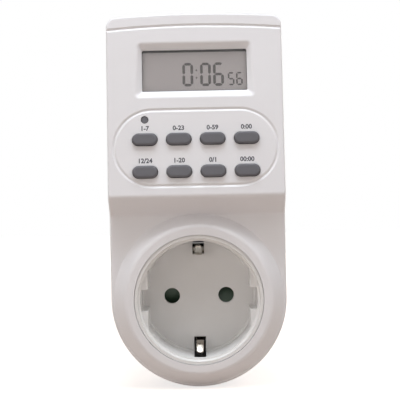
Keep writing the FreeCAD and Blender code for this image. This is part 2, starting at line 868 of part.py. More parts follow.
def boss_outline(sketch):
    """A round plug body with two flat sides."""
    radius = boss_radius
    flat = radius - size.boss_flat_cut
    rise = root(radius * radius - flat * flat)
    points = [(flat, -rise), (flat, rise), (0, radius), (-flat, rise), (-flat, -rise), (0, -radius)]
    outline(sketch, points, {1: radius, 2: radius, 4: radius, 5: radius})


def rear_posts(body):
    """Tubes for the housing screws, sunk from behind, and stand-offs for the power board."""
    tube = size.screw_head_radius + size.fit_gap + 1.2
    inner = size.boss_length + size.rear_wall
    pad(body, "screw_tubes", lambda s: [circle(s, x, z, tube) for x, z in screw_places],
        size.parting_ahead - inner + size.rear_wall / 2, lift=inner - size.rear_wall / 2)
    pocket(body, "screw_sinks",
           lambda s: [circle(s, x, z, size.screw_head_radius + size.fit_gap) for x, z in screw_places],
           size.screw_sink, lift=size.boss_length, ahead=True)
    pocket(body, "screw_holes",
           lambda s: [circle(s, x, z, size.screw_radius + size.fit_gap) for x, z in screw_places],
           size.parting_ahead, ahead=True)
    pad(body, "power_posts", lambda s: [circle(s, x, z, size.power_post_radius) for x, z in power_posts],
        size.power_board_ahead - inner + size.rear_wall / 2, lift=inner - size.rear_wall / 2)
    pocket(body, "power_pilots", lambda s: [circle(s, x, z, board_pilot) for x, z in power_posts],
           size.board_screw_length - size.board_thickness, lift=size.power_board_ahead)


# Plug pins and outlet


def plug_pin(name, side, tail):
    """A turned pin: round tip, shank in the wall, collar behind it and a tail inside."""
    body = new_body(name)
    radius = size.pin_diameter / 2
    tip = size.pin_tip_round
    collar = size.plug_face_wall + size.pin_collar_thickness
    profile = [(-size.pin_length, 0), (-size.pin_length, radius - tip), (-size.pin_length + tip, radius),
               (0, radius), (0, size.pin_shank_radius), (size.plug_face_wall, size.pin_shank_radius),
               (size.plug_face_wall, size.pin_collar_radius), (collar, size.pin_collar_radius),
               (collar, size.pin_tail_radius), (collar + tail, size.pin_tail_radius), (collar + tail, 0)]
    turned(body, f"{name}_turned", profile, {1: -tip}, across=side * pin_across)
    return body


def socket_insert():
    """Well of the outlet: cup with floor and flange, guide segments, pin holes, earth slots and a pivot."""
    body = new_body("socket_insert")
    bore = size.cavity_radius
    flange_back = insert_top - size.flange_thickness
    profile = [(floor_back, 0), (floor_back, insert_radius), (flange_back, insert_radius),
               (flange_back, flange_radius), (insert_top, flange_radius),
               (insert_top, bore + size.lip_round), (insert_top - size.lip_round, bore),
               (floor_ahead + size.floor_round, bore), (floor_ahead, bore - size.floor_round),
               (floor_ahead, 0)]
    turned(body, "cup", profile, {5: size.lip_round, 7: -size.floor_round})

    half = bore - size.guide_depth
    slot = size.guide_slot / 2
    edge = bore + size.insert_wall / 2
    wall_at_slot = root(edge * edge - slot * slot)
    rise = root(edge * edge - half * half)

    def guides(sketch):
        for side in (-1, 1):
            for end in (-1, 1):
                points = [(side * half, end * slot), (side * wall_at_slot, end * slot),
                          (side * half, end * rise)]
                outline(sketch, points, {1: edge * side * end})

    pad(body, "guides", guides, insert_top - size.guide_top_gap - floor_ahead + size.floor_thickness / 2,
        lift=floor_ahead - size.floor_thickness / 2)
    pivot = size.skirt_length - size.retainer_thickness
    pad(body, "pivot", lambda s: circle(s, 0, 0, size.pivot_radius), pivot + size.floor_thickness / 2,
        lift=floor_back + size.floor_thickness / 2, back=True)
    pocket(body, "pivot_pilot", lambda s: circle(s, 0, 0, board_pilot), pivot,
           lift=floor_back - pivot, ahead=True)

    def pin_holes(sketch):
        for side in (-1, 1):
            circle(sketch, side * pin_across, 0, size.pin_hole_diameter / 2)

    pocket(body, "pin_holes", pin_holes, size.floor_thickness * 2,
           lift=floor_ahead + size.floor_thickness / 2)
    pocket(body, "gate_mark", lambda s: circle(s, 0, 0, size.gate_mark_radius), size.gate_mark_depth,
           lift=floor_ahead)

    def earth_slots(sketch):
        reach = insert_radius + 1 - size.earth_slot_start
        for side in (-1, 1):
            middle = size.earth_slot_start + reach / 2
            rectangle(sketch, 0, side * middle, size.earth_slot_width, reach)

    pocket(body, "earth_slots", earth_slots, size.earth_slot_height + size.floor_thickness + 1,
           lift=floor_ahead + size.earth_slot_height)
    return body


def shutter():
    """Two wings that cover the pin holes, with ramps that turn it when both pins push."""
    body = new_body("shutter")
    front = floor_back - size.shutter_gap
    thick = size.shutter_thickness + size.shutter_ramp
    angle = size.shutter_half_angle
    neck = size.shutter_neck / 2
    inner, outer = size.shutter_wing_start, size.shutter_radius

    pad(body, "shutter_hub", lambda s: circle(s, 0, 0, size.shutter_hub_radius), size.shutter_thickness,
        lift=front, back=True)
    pad(body, "shutter_neck", lambda s: rectangle(s, 0, 0, inner * 2 + 1, neck * 2),
        size.shutter_thickness, lift=front, back=True)

    def wings(sketch):
        for side in (-1, 1):
            points = [(side * inner * cosine(angle), -side * inner * sine(angle)),
                      (side * outer * cosine(angle), -side * outer * sine(angle)),
                      (side * outer * cosine(angle), side * outer * sine(angle)),
                      (side * inner * cosine(angle), side * inner * sine(angle))]
            outline(sketch, points, {1: outer, 3: -inner})

    pad(body, "shutter_wings", wings, thick, lift=front, back=True)

    # Each ramp falls away from the neck's line towards the side where its wing leads
    for side, name in ((-1, "ramp_left"), (1, "ramp_right")):
        reach = size.pin_hole_diameter
        foot = front - size.shutter_ramp
        points = [(front + 1, -side * reach), (front + 1, side * reach * 1.2), (foot, side * reach * 1.2),
                  (foot, side * reach / 2), (front, -side * reach / 2), (front, -side * reach)]
        sketch = sketch_on(body, "YZ_Plane", f"{name}_sketch", side * (inner + outer) / 2)
        side_outline(sketch, points)
        extrusion("Pocket", body, name, sketch, (outer - inner) * 1.2, False, True, None)

    pocket(body, "shutter_bore", lambda s: circle(s, 0, 0, size.pivot_radius + size.pivot_clearance),
           thick + 1, lift=front + 0.5)
    return body


def shutter_retainer():
    """Shallow cap screwed to the pivot, which closes the shutter's space from behind."""
    body = new_body("shutter_retainer")
    outer = skirt_inner + size.skirt_wall
    pad(body, "retainer_plate", lambda s: circle(s, 0, 0, outer), size.retainer_thickness, lift=skirt_back)
    pad(body, "retainer_rim", lambda s: [circle(s, 0, 0, outer), circle(s, 0, 0, skirt_inner)],
        size.skirt_length, lift=skirt_back)

    def gaps(sketch):
        for side in (-1, 1):
            rectangle(sketch, 0, side * (size.earth_tongue_height + size.skirt_wall), size.skirt_gap_width,
                      2 * (size.skirt_wall + size.tongue_space))

    pocket(body, "tongue_gaps", gaps, size.skirt_length + 1, lift=floor_back)

    def holes(sketch):
        circle(sketch, 0, 0, size.board_screw_radius + size.fit_gap)
        for side in (-1, 1):
            circle(sketch, side * pin_across, 0, size.pin_hole_diameter / 2 + size.fit_gap)

    pocket(body, "retainer_holes", holes, size.retainer_thickness * 2, lift=skirt_back, ahead=True)
    return body


def contact_carrier():
    """Plate with a tower round each contact, standing on legs behind the plug's face."""
    body = new_body("contact_carrier")
    low = carrier_bottom

    def both_sides(draw):
        return lambda s: [draw(s, side) for side in (-1, 1)]

    pad(body, "carrier_disc", lambda s: circle(s, 0, 0, carrier_radius), size.carrier_plate, lift=low)
    leg = carrier_radius - size.carrier_leg_inset
    pad(body, "carrier_legs",
        both_sides(lambda s, side: rectangle(s, 0, side * leg, size.carrier_leg_width,
                                             size.carrier_leg_thickness)),
        low - size.plug_face_wall, lift=size.plug_face_wall)
    pad(body, "towers", both_sides(lambda s, side: circle(s, side * pin_across, 0, size.tower_radius)),
        tower_top - low, lift=low)
    pad(body, "bridge", lambda s: rectangle(s, 0, 0, size.bridge_width, size.bridge_height),
        earth_bar - low, lift=low)
    sleeve = size.sleeve_bore_radius + size.sleeve_wall + size.sleeve_clearance
    pocket(body, "tower_bores", both_sides(lambda s, side: circle(s, side * pin_across, 0, sleeve)),
           tower_top, lift=carrier_seat, ahead=True)
    tail = size.pin_tail_radius + size.fit_gap
    pocket(body, "tail_holes", both_sides(lambda s, side: circle(s, side * pin_across, 0, tail)),
           carrier_seat, ahead=True)
    slot = size.wire_slot_width
    pocket(body, "tower_slots",
           both_sides(lambda s, side: rectangle(s, side * pin_across, size.tower_radius, slot,
                                                size.tower_radius)),
           tower_top - wire_out + slot / 2, lift=tower_top)
    notch = size.wire_radius * 2 + size.carrier_leg_inset
    pocket(body, "wire_notches",
           both_sides(lambda s, side: rectangle(s, side * (pin_across - size.wire_inset), carrier_radius,
                                                notch, size.wire_turn_height - size.wire_radius)),
           size.carrier_plate * 2, lift=low - 1, ahead=True)
    return body


def contact(name, side):
    """A drawn brass sleeve, slit on both sides so that it grips a pin."""
    body = new_body(name)
    seat = carrier_seat
    inner = size.sleeve_bore_radius
    outer = inner + size.sleeve_wall
    front = seat + size.sleeve_length
    base = seat + size.sleeve_base
    profile = [(seat, 0), (seat, outer), (front, outer), (front, inner + size.sleeve_wall * 0.6),
               (front - size.sleeve_wall, inner), (base, inner), (base, 0)]
    turned(body, f"{name}_sleeve", profile, across=side * pin_across)
    pocket(body, f"{name}_slits",
           lambda s: rectangle(s, side * pin_across, 0, size.sleeve_slit, outer * 2 + 1),
           size.sleeve_length - size.sleeve_base * 3, lift=front)
    return body


# Bent strips and wires


def bent_path(points, radius):
    """A wire of straight runs joined by tangent arcs."""
    edges = []
    start = points[0]
    for before, corner, after in zip(points, points[1:], points[2:]):
        come = (before - corner).normalize()
        leave = (after - corner).normalize()
        half_turn = (math.pi - come.getAngle(leave)) / 2
        cut = radius * math.tan(half_turn)
        first, last = corner + come * cut, corner + leave * cut
        middle = (come + leave).normalize()
        apex = corner + middle * (radius / math.cos(half_turn) - radius)
        edges.append(Part.LineSegment(start, first).toShape())
        edges.append(Part.Arc(first, apex, last).toShape())
        start = last
    edges.append(Part.LineSegment(start, points[-1]).toShape())
    return Part.Wire(edges)


def swept(path, section):
    """Carry a closed section, given at the path's start, along the path."""
    return path.makePipeShell([section], True, False)


def round_section(point, direction, radius):
    return Part.Wire([Part.Circle(point, direction, radius).toShape()])


def strip_section(point, across, over, width, thickness):
    """A flat rectangle at point, with its width along across and its thickness along over."""
    half, thin = across * (width / 2), over * (thickness / 2)
    corners = [point - half - thin, point + half - thin, point + half + thin, point - half + thin]
    return Part.makePolygon(corners + corners[:1])


def at(ahead, height, across=0.0):
    """A point by its distance ahead, its height and its place across."""
    return Vector(float(across), -float(ahead), float(height))


def earth_bracket_front():
    """Strip behind the well with a tongue in each earth slot: it leans in, then flares out at its end."""
    thickness = size.strip_thickness.number
    width = size.earth_tongue_width.number
    bar = earth_bar.number + thickness * 1.5
    reach = size.earth_tongue_height.number
    inner = reach - size.earth_tongue_dip.number
    outer = reach + size.earth_tongue_flare.number
    floor = floor_ahead.number
    bent, tip = floor + size.earth_tongue_bend.number, floor + size.earth_tongue_reach.number
    bend = size.earth_bend_radius.number
    shapes = []
    for side in (1, -1):
        points = [at(bar, 0), at(bar, side * reach), at(floor - thickness, side * reach),
                  at(bent, side * inner), at(tip, side * outer)]
        section = strip_section(points[0], Vector(1, 0, 0), Vector(0, 1, 0), width, thickness)
        shapes.append(swept(bent_path(points, bend), section))
    return feature_from("earth_bracket_front", shapes[0].fuse(shapes[1]).removeSplitter())


def earth_bracket_rear():
    """Strip that runs out through the rear wall into the plug's two side notches."""
    thickness = size.strip_thickness.number
    width = size.earth_strip_width.number
    bar = earth_bar.number + thickness / 2
    reach = earth_leg.number
    end = size.earth_strip_setback.number
    bend = size.earth_bend_radius.number
    shapes = []
    for side in (1, -1):
        points = [at(bar, 0), at(bar, side * reach), at(end, side * reach)]
        section = strip_section(points[0], Vector(1, 0, 0), Vector(0, 1, 0), width, thickness)
        shapes.append(swept(bent_path(points, bend), section))
    return feature_from("earth_bracket_rear", shapes[0].fuse(shapes[1]).removeSplitter())


def shutter_spring():
    """Torsion spring round the pivot, behind the shutter's hub, with two straight legs."""
    radius = size.spring_coil_radius.number
    wire = size.spring_wire.number / 2
    pitch = wire * 2 + 0.12
    turns = int(size.spring_turns.number)
    back = floor_back.number - size.shutter_gap.number - size.shutter_thickness.number - wire - 0.1
    helix = Part.makeHelix(pitch, pitch * turns, radius)
    slope = Vector(0, 1, pitch / (2 * math.pi * radius)).normalize()
    start, end = Vector(radius, 0, 0), Vector(radius, 0, pitch * turns)
    leg = slope * size.spring_leg.number
    edges = [Part.LineSegment(start - leg, start).toShape(), *helix.Edges,
             Part.LineSegment(end, end + leg).toShape()]
    coil = swept(Part.Wire(edges), round_section(start - leg, slope, wire))
    coil.rotate(Vector(), Vector(1, 0, 0), 90)
    coil.translate(Vector(0, -back + pitch * turns, 0))
    return feature_from("shutter_spring", coil)


# Keys and display, in the sloping face's frame


key_flange_front = size.wall + size.key_gap
key_stem_end = key_flange_front + size.key_flange_thickness + size.key_stem_length
lens_back = size.wall + size.lens_thickness
glass_front = lens_back + size.glass_gap
glass_back = glass_front + size.glass_thickness
glass_width = window_width + 2 * size.glass_margin
glass_height = size.window_height + 2 * size.glass_margin
board_back = size.board_deep + size.board_thickness


def key(name, x, up):
    """A pill-shaped key: cap through the face, a flange behind it that keeps it in, and a stem."""
    body = new_body(name)
    over = 2 * (size.key_gap + size.key_flange)
    pad(body, f"{name}_cap", lambda s: stadium(s, x, up, size.key_length, size.key_width),
        key_flange_front + size.key_proud, lift=-key_flange_front)
    soften(body, f"{name}_edge", size.key_edge_round, lambda p: near(-p.y, size.key_proud))
    pad(body, f"{name}_flange", lambda s: stadium(s, x, up, size.key_length + over, size.key_width + over),
        size.key_flange_thickness, lift=-key_flange_front, back=True)
    pad(body, f"{name}_stem", lambda s: circle(s, x, up, size.key_stem_radius),
        size.key_flange_thickness + size.key_stem_length, lift=-key_flange_front, back=True)
    on_face(body)


def reset_key():
    """A small round key that lies just below the face."""
    body = new_body("reset_key")
    flange = size.reset_radius + size.key_gap + size.key_flange
    profile = [(-key_stem_end, 0), (-key_stem_end, size.reset_radius * 0.8),
               (-key_flange_front - size.key_flange_thickness, size.reset_radius * 0.8),
               (-key_flange_front - size.key_flange_thickness, flange), (-key_flange_front, flange),
               (-key_flange_front, size.reset_radius), (-size.reset_recess, size.reset_radius),
               (-size.reset_recess, 0)]
    turned(body, "reset_turned", profile, across=-size.reset_across, height=size.reset_height)
    on_face(body)


def keypad_mat():
    """Rubber mat on the display board with a dome behind each key."""
    body = new_body("keypad_mat")
    left = size.key_pitch * 1.5 + size.key_length / 2
    low = size.key_row_low - size.key_width
    high = size.reset_height + size.dome_radius
    pad(body, "mat_sheet", lambda s: rounded(s, 0, (low + high) / 2, left * 2, high - low, size.dome_radius),
        size.mat_thickness, lift=-size.board_deep)
    foot = size.mat_thickness - size.board_deep
    domes = [(x, up, size.key_travel) for x, up in key_places]
    domes.append((-size.reset_across, size.reset_height, size.reset_travel))
    for number, (x, up, travel) in enumerate(domes, 1):
        top = -key_stem_end - travel - size.dome_clearance
        profile = [(foot - 0.3, 0), (foot - 0.3, size.dome_radius), (foot, size.dome_radius),
                   (top, size.dome_radius * 0.7), (top, 0)]
        turned(body, f"dome_{number}", profile, across=x, height=up)
    on_face(body)


def window_lens():
    """Clear window: a flat plate behind the face, with a raised field that fills the opening."""
    body = new_body("window_lens")
    width = window_width + 2 * size.lens_margin
    height = size.window_height + 2 * size.lens_margin
    pad(body, "lens_plate", lambda s: rounded(s, 0, size.window_centre, width, height, size.recess_corner),
        size.lens_thickness, lift=-lens_back)
    gap = 2 * size.fit_gap
    pad(body, "lens_field",
        lambda s: rounded(s, 0, size.window_centre, window_width - gap, size.window_height - gap,
                          size.recess_corner / 3),
        size.wall - size.recess_depth, lift=-size.wall)
    on_face(body)


def lcd_glass():
    """Two glass plates; the front one has a ledge below with the contacts on its back."""
    body = new_body("lcd_glass")
    half = size.glass_thickness / 2
    pad(body, "glass_front",
        lambda s: rectangle(s, 0, size.window_centre - size.glass_ledge / 2, glass_width,
                            glass_height + size.glass_ledge),
        half, lift=-glass_front - half)
    pad(body, "glass_rear", lambda s: rectangle(s, 0, size.window_centre, glass_width, glass_height),
        half, lift=-glass_back)
    on_face(body)


def lcd_frame():
    """Moulded frame that holds the glass on the display board."""
    body = new_body("lcd_frame")
    gap = 2 * size.fit_gap
    wall = 2 * size.frame_wall
    middle = size.window_centre - size.glass_ledge / 2
    width = glass_width + gap
    height = glass_height + size.glass_ledge + gap

    def ring(sketch):
        rounded(sketch, 0, middle, width + wall, height + wall, size.frame_wall)
        rectangle(sketch, 0, middle, width, height)

    pad(body, "frame_ring", ring, size.board_deep - lens_back - size.fit_gap, lift=-size.board_deep)
    pad(body, "frame_bars",
        lambda s: [rectangle(s, side * (width - size.frame_wall) / 2, middle, size.frame_wall, height)
                   for side in (-1, 1)],
        size.board_deep - glass_back, lift=-size.board_deep)
    on_face(body)


def zebra_strip():
    """Elastic strip that joins the glass ledge to the display board."""
    body = new_body("zebra_strip")
    up = size.window_centre - glass_height / 2 - size.glass_ledge / 2
    back = glass_front + size.glass_thickness / 2
    pad(body, "zebra_bar", lambda s: rectangle(s, 0, up, glass_width - 4 * size.frame_wall, size.zebra_width),
        size.board_deep - back, lift=-size.board_deep)
    on_face(body)


def display_board():
    body = new_body("display_board")
    low, high = size.display_board_bottom, size.display_board_top
    hole = size.board_screw_radius + size.fit_gap

    def sheet_outline(sketch):
        rounded(sketch, 0, (low + high) / 2, display_width, high - low, size.board_post_radius)
        for x, up in board_posts:
            circle(sketch, x, up, hole)

    pad(body, "display_board_sheet", sheet_outline, size.board_thickness, lift=-board_back)
    on_face(body)


def on_board(name, profile, x, up, arcs=None):
    """A round part on the back of the display board; its profile is (height off the board, radius)."""
    body = new_body(name)
    turned(body, f"{name}_turned", [(-board_back - height, radius) for height, radius in profile],
           arcs, across=x, height=up)
    on_face(body)


def driver_chip():
    """Round resin cap over the driver chip."""
    cap = size.chip_radius
    on_board("driver_chip", [(0, 0), (0, cap), (cap * 0.2, cap * 0.8), (cap * 0.3, cap * 0.4),
                             (cap * 0.3, 0)], size.chip_across, size.chip_up)


def backup_battery():
    """Button cell with a narrower top cap."""
    cell, depth = size.battery_radius, size.battery_thickness
    on_board("backup_battery", [(0, 0), (0, cell), (depth * 0.75, cell), (depth * 0.75, cell * 0.82),
                                (depth, cell * 0.82), (depth, 0)], size.battery_across, size.battery_up)


def crystal():
    """Small metal can that lies on the back of the display board."""
    body = new_body("crystal")
    depth = board_back + size.crystal_radius
    pad(body, "crystal_can",
        lambda s: circle(s, depth, size.crystal_up, size.crystal_radius),
        size.crystal_length, lift=size.crystal_across, role="YZ_Plane")
    on_face(body)


# Power board and what stands on it


power_front = size.power_board_ahead + size.board_thickness


def power_board():
    body = new_body("power_board")
    low, high = size.power_board_bottom, power_top
    hole = size.board_screw_radius + size.fit_gap

    def sheet_outline(sketch):
        rounded(sketch, 0, (low + high) / 2, power_width, high - low, size.board_post_radius)
        for x, z in power_posts:
            circle(sketch, x, z, hole)

    pad(body, "power_board_sheet", sheet_outline, size.board_thickness, lift=size.power_board_ahead)


def boxed(name, x, z, width, length, height):
    """A moulded box that stands on the power board."""
    body = new_body(name)
    edge = size.part_edge_round
    pad(body, f"{name}_box", lambda s: rounded(s, x, z, width, length, edge), height, lift=power_front)
    soften(body, f"{name}_top", edge * 0.8, lambda p: near(-p.y, power_front + height))


def standing(name, x, z, radius, height):
    """A can that stands on the power board, with a pressed groove near its foot."""
    body = new_body(name)
    top = power_front + height
    groove, groove_width = power_front + size.can_groove_height, size.can_groove_depth
    profile = [(power_front, 0), (power_front, radius), (groove - groove_width, radius),
               (groove, radius - groove_width), (groove + groove_width, radius), (top - groove_width, radius),
               (top, radius - groove_width), (top, 0)]
    turned(body, f"{name}_can", profile, across=x, height=z)


def varistor():
    """Coated disc on edge."""
    body = new_body("varistor")
    lift = power_front + size.varistor_radius + size.part_lift
    pad(body, "varistor_disc", lambda s: circle(s, -lift, size.varistor_height, size.varistor_radius),
        size.varistor_thickness, lift=size.varistor_across, role="YZ_Plane")
    side = size.varistor_across.number

    def rim(point):
        return near(point.x, side) or near(point.x, side + size.varistor_thickness.number)

    soften(body, "varistor_rim", size.varistor_thickness * 0.3, rim)


def lying(name, places, radius, length):
    """Cylinders that lie across the power board, one solid each."""
    shapes = []
    for x, z in places:
        start = at(power_front.number + radius + size.part_lift.number, z, x - length / 2)
        shapes.append(Part.makeCylinder(radius, length, start, Vector(1, 0, 0)))
    feature_from(name, shapes[0] if len(shapes) == 1 else Part.makeCompound(shapes))


def power_parts():
    beside = power_post - size.board_screw_head_radius - size.part_gap
    boxed("relay", size.relay_width / 2 - beside, power_top - size.relay_drop, size.relay_width,
          size.relay_length, size.relay_height)
    boxed("film_capacitor", beside - size.film_capacitor_length / 2, power_top - size.film_drop,
          size.film_capacitor_length, size.film_capacitor_width, size.film_capacitor_height)
    below_film = power_top - size.film_drop - size.film_capacitor_width / 2 - size.electrolytic_gap
    standing("electrolytic_capacitor", size.electrolytic_across, below_film - size.electrolytic_radius,
             size.electrolytic_radius, size.electrolytic_height)
    varistor()
    resistor_place = (size.resistor_across.number, size.resistor_up.number)
    lying("fuse_resistor", [resistor_place], size.resistor_radius.number, size.resistor_length.number)
    row = [(size.diode_across.number, size.diode_up.number + step * size.diode_pitch.number)
           for step in range(4)]
    lying("diodes", row, size.diode_radius.number, size.diode_length.number)


def wire(name, points):
    radius = size.wire_radius.number
    path = bent_path(points, size.wire_bend_radius.number)
    direction = (points[1] - points[0]).normalize()
    feature_from(name, swept(path, round_section(points[0], direction, radius)))


def wires():
    """Supply wires from the pins' tails, and the switched wire to the left contact."""
    low, high = size.wire_low_ahead.number, size.wire_high_ahead.number
    end, turn = size.wire_end_height.number, size.wire_turn_height.number
    across = pin_across.number
    passing = across - size.wire_inset.number
    tail = size.pin_tail_radius.number + size.thread_gap.number
    for name, side, reach in (("wire_live_in", -1, size.live_wire_across.number),
                              ("wire_neutral", 1, size.neutral_wire_across.number)):
        wire(name, [at(low, tail, side * across), at(low, turn, side * passing),
                    at(high - size.wire_radius.number * 2, turn, side * passing),
                    at(high, end, side * reach), at(power_front, end, side * reach)])
    sleeve = (size.sleeve_bore_radius + size.sleeve_wall + size.thread_gap).number
    out = -size.wire_out_across.number
    wire("wire_live_out", [at(wire_out, sleeve, -across), at(wire_out, -out, -across), at(high, end, out),
                           at(power_front, end, out)])


def ribbon_cable():
    """Flat cable from the back of the display board to the front of the power board."""
    lean = math.radians(size.face_tilt.number)
    away = Vector(0, math.cos(lean), -math.sin(lean))
    along = Vector(0, math.sin(lean), math.cos(lean))
    corner = at(face_ahead, face_bottom, size.ribbon_across)
    start = corner + along * size.ribbon_up.number + away * board_back.number
    finish = at(power_front, size.ribbon_end_height, size.ribbon_across)
    run = size.ribbon_run.number
    points = [start, start + away * run, finish + Vector(0, -run, 0), finish]
    section = strip_section(start, Vector(1, 0, 0), along, size.ribbon_width.number,
                            size.ribbon_thickness.number)
    feature_from("ribbon_cable", swept(bent_path(points, size.wire_bend_radius.number), section))


# Screws


def screw(place, direction, radius, length, head_radius, head_height):
    """A pan head with a cross recess, and a shank that points along direction."""
    under = place + direction * head_height
    head = Part.makeCylinder(head_radius, head_height, place, direction)
    shank = Part.makeCylinder(radius, length - head_height, under, direction)
    solid = head.fuse(shank).removeSplitter()
    arm, width, depth = head_radius * 0.6, head_radius * 0.18, head_height * 0.5
    for long, wide in ((arm, width), (width, arm)):
        slot = Part.makeBox(long * 2, wide * 2, depth, Vector(-long, -wide, 0))
        slot.Placement = FreeCAD.Placement(place, FreeCAD.Rotation(Vector(0, 0, 1), direction))
        solid = solid.cut(slot)
    return solid


def screws():
    """Housing screws from behind, board screws on both boards, and the screw in the shutter's pivot."""
    ahead = Vector(0, -1, 0)
    head_height = size.screw_head_height.number
    sunk = screw_seat.number - head_height
    housing = [screw(at(sunk, z, x), ahead, size.screw_radius.number, size.screw_length.number,
                     size.screw_head_radius.number, head_height) for x, z in screw_places]
    feature_from("housing_screws", Part.makeCompound(housing))

    small = (size.board_screw_radius.number, size.board_screw_length.number,
             size.board_screw_head_radius.number, size.board_screw_head_height.number)
    head = size.board_screw_head_height.number
    face = FreeCAD.Placement(at(face_ahead, face_bottom),
                             FreeCAD.Rotation(Vector(-1, 0, 0), size.face_tilt.number))
    board = []
    for x, up in board_posts:
        one = screw(at(-board_back - head, up, x), ahead, *small)
        one.Placement = face.multiply(one.Placement)
        board.append(one)
    board += [screw(at(power_front + head, z, x), -ahead, *small) for x, z in power_posts]
    feature_from("board_screws", Part.makeCompound(board))
    feature_from("shutter_screw", screw(at(skirt_back - head, 0), ahead, *small))


def main():
    front_housing()
    rear_housing()
    plug_pin("plug_pin_left", -1, size.live_tail_length)
    tail = carrier_seat - size.plug_face_wall - size.pin_collar_thickness
    plug_pin("plug_pin_right", 1, tail)
    socket_insert()
    shutter()
    shutter_retainer()
    contact_carrier()
    contact("contact_left", -1)
    contact("contact_right", 1)
    earth_bracket_front()
    earth_bracket_rear()
    shutter_spring()
    for number, (x, up) in enumerate(key_places, 1):
        key(f"key_{number}", x, up)
    reset_key()
    keypad_mat()
    window_lens()
    lcd_glass()
    lcd_frame()
    zebra_strip()
    display_board()
    driver_chip()
    backup_battery()
    crystal()
    power_board()
    power_parts()
    wires()
    ribbon_cable()
    screws()


main()
doc.recompute()

for item in doc.Objects:
    if "Invalid" in item.State or "Error" in item.State:
        raise RuntimeError(f"{item.Name} is {item.State}")
os.makedirs("parts", exist_ok=True)
for piece in pieces:
    shape = piece.Shape
    if shape.isNull() or not shape.isValid():
        raise RuntimeError(f"{piece.Label} has no valid shape")
    shape.exportStep(f"parts/{piece.Label}.step")
    print(piece.Label, len(shape.Solids), round(shape.Volume, 1))
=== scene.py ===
# %% [markdown]
# # A plug-in timer socket
#
# The object is a white moulded timer that plugs into a wall outlet. It has a round earthed outlet below
# and a sloping panel with a display and eight rubber keys above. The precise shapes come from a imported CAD
# model. This script gives every piece its real material, adds the bowed earth strip, the display's digits
# and the printed marks, and stands it all in plain studio light.
#
# Every mesh is in metres. Sizes are written in millimetres, because the real ones are, and times MM they
# become metres. The front faces -Y and +Z points up, so the camera stands on the -Y side.

# %% Load the CAD pieces
import math

import bpy
import numpy as np
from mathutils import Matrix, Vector


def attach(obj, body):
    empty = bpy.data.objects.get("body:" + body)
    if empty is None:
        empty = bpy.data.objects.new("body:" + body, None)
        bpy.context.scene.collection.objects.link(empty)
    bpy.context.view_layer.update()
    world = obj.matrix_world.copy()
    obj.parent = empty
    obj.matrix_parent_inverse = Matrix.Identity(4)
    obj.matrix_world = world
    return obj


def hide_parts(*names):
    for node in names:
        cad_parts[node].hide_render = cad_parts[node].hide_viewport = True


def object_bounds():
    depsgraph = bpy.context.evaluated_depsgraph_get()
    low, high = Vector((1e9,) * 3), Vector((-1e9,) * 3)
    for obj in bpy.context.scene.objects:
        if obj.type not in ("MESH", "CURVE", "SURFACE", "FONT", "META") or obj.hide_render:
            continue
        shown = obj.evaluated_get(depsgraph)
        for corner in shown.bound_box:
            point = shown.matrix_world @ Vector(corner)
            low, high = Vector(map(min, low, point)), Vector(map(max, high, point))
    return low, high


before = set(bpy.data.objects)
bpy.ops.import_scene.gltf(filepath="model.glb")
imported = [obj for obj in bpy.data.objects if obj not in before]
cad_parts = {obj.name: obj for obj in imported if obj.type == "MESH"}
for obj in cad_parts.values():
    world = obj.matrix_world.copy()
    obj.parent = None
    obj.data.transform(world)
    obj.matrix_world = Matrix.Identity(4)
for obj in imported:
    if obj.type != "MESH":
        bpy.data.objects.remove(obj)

MM = 0.001
cad_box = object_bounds()
lowest, highest = (np.array(corner) / MM for corner in cad_box)
print("CAD box, mm:", np.round(lowest, 1), "to", np.round(highest, 1))

# %% [markdown]
# ## Three small helpers for materials
#
# Colours are easiest to judge as the hex values that a screen shows, but a renderer counts light, so the
# first helper turns a hex value to linear. A material is a small graph of nodes. The second helper adds a
# node, fills in its settings and inputs, and links whatever is given as an output of another node. The
# third starts a material with its surface node.

# %% Turn a screen colour to linear light


def linear(code):
    """Turn an sRGB hex value into linear red, green, blue and an alpha of 1.

    A part up to 0.04045 is divided by 12.92, and a larger one becomes ((part + 0.055) / 1.055) ^ 2.4.
    """
    parts = np.array([int(code[place:place + 2], 16) for place in (1, 3, 5)]) / 255
    light = np.where(parts <= 0.04045, parts / 12.92, ((parts + 0.055) / 1.055) ** 2.4)
    return (*light.tolist(), 1.0)


print("the housing's white as linear light:", [round(value, 3) for value in linear("#e9e9ec")])

# %% Add a node, start a material


def add(tree, kind, inputs=None, **settings):
    """Add a node; inputs maps a socket's name or number to a value, or to an output that feeds it."""
    node = tree.nodes.new(kind)
    for name, value in settings.items():
        setattr(node, name, value)
    for key, value in (inputs or {}).items():
        if isinstance(value, bpy.types.NodeSocket):
            tree.links.new(value, node.inputs[key])
        else:
            node.inputs[key].default_value = value
    return node


def new_material(name, **surface):
    """A material with a Principled surface; returns the material, its tree and the surface node."""
    material = bpy.data.materials.new(name)
    material.use_nodes = True
    tree = material.node_tree
    tree.nodes.clear()
    sockets = {key.replace("_", " "): value for key, value in surface.items()}
    shader = add(tree, "ShaderNodeBsdfPrincipled", sockets)
    add(tree, "ShaderNodeOutputMaterial", {"Surface": shader.outputs[0]})
    return material, tree, shader


trial, tree, shader = new_material("trial", Roughness=0.5)
print("a material starts with:", [node.bl_label for node in tree.nodes])
bpy.data.materials.remove(trial)

# %% [markdown]
# ## A finish from two patterns
#
# Moulded plastic and plated metal differ in their grain, but are put together alike. Broad soft patches
# move the colour a little between two close tones. A fine grain moves the gloss a little and gives the
# surface its relief. A Mix node's colour inputs are its numbers 6 and 7, because its earlier ones mix
# plain numbers. Most of what a noise gives lies between 0.3 and 0.7, so the gloss is spread over that.

# %% Link colour, gloss and relief
MIX_FACTOR, MIX_FIRST, MIX_SECOND, MIX_COLOUR = 0, 6, 7, 2
NOISE_LOW, NOISE_HIGH = 0.3, 0.7


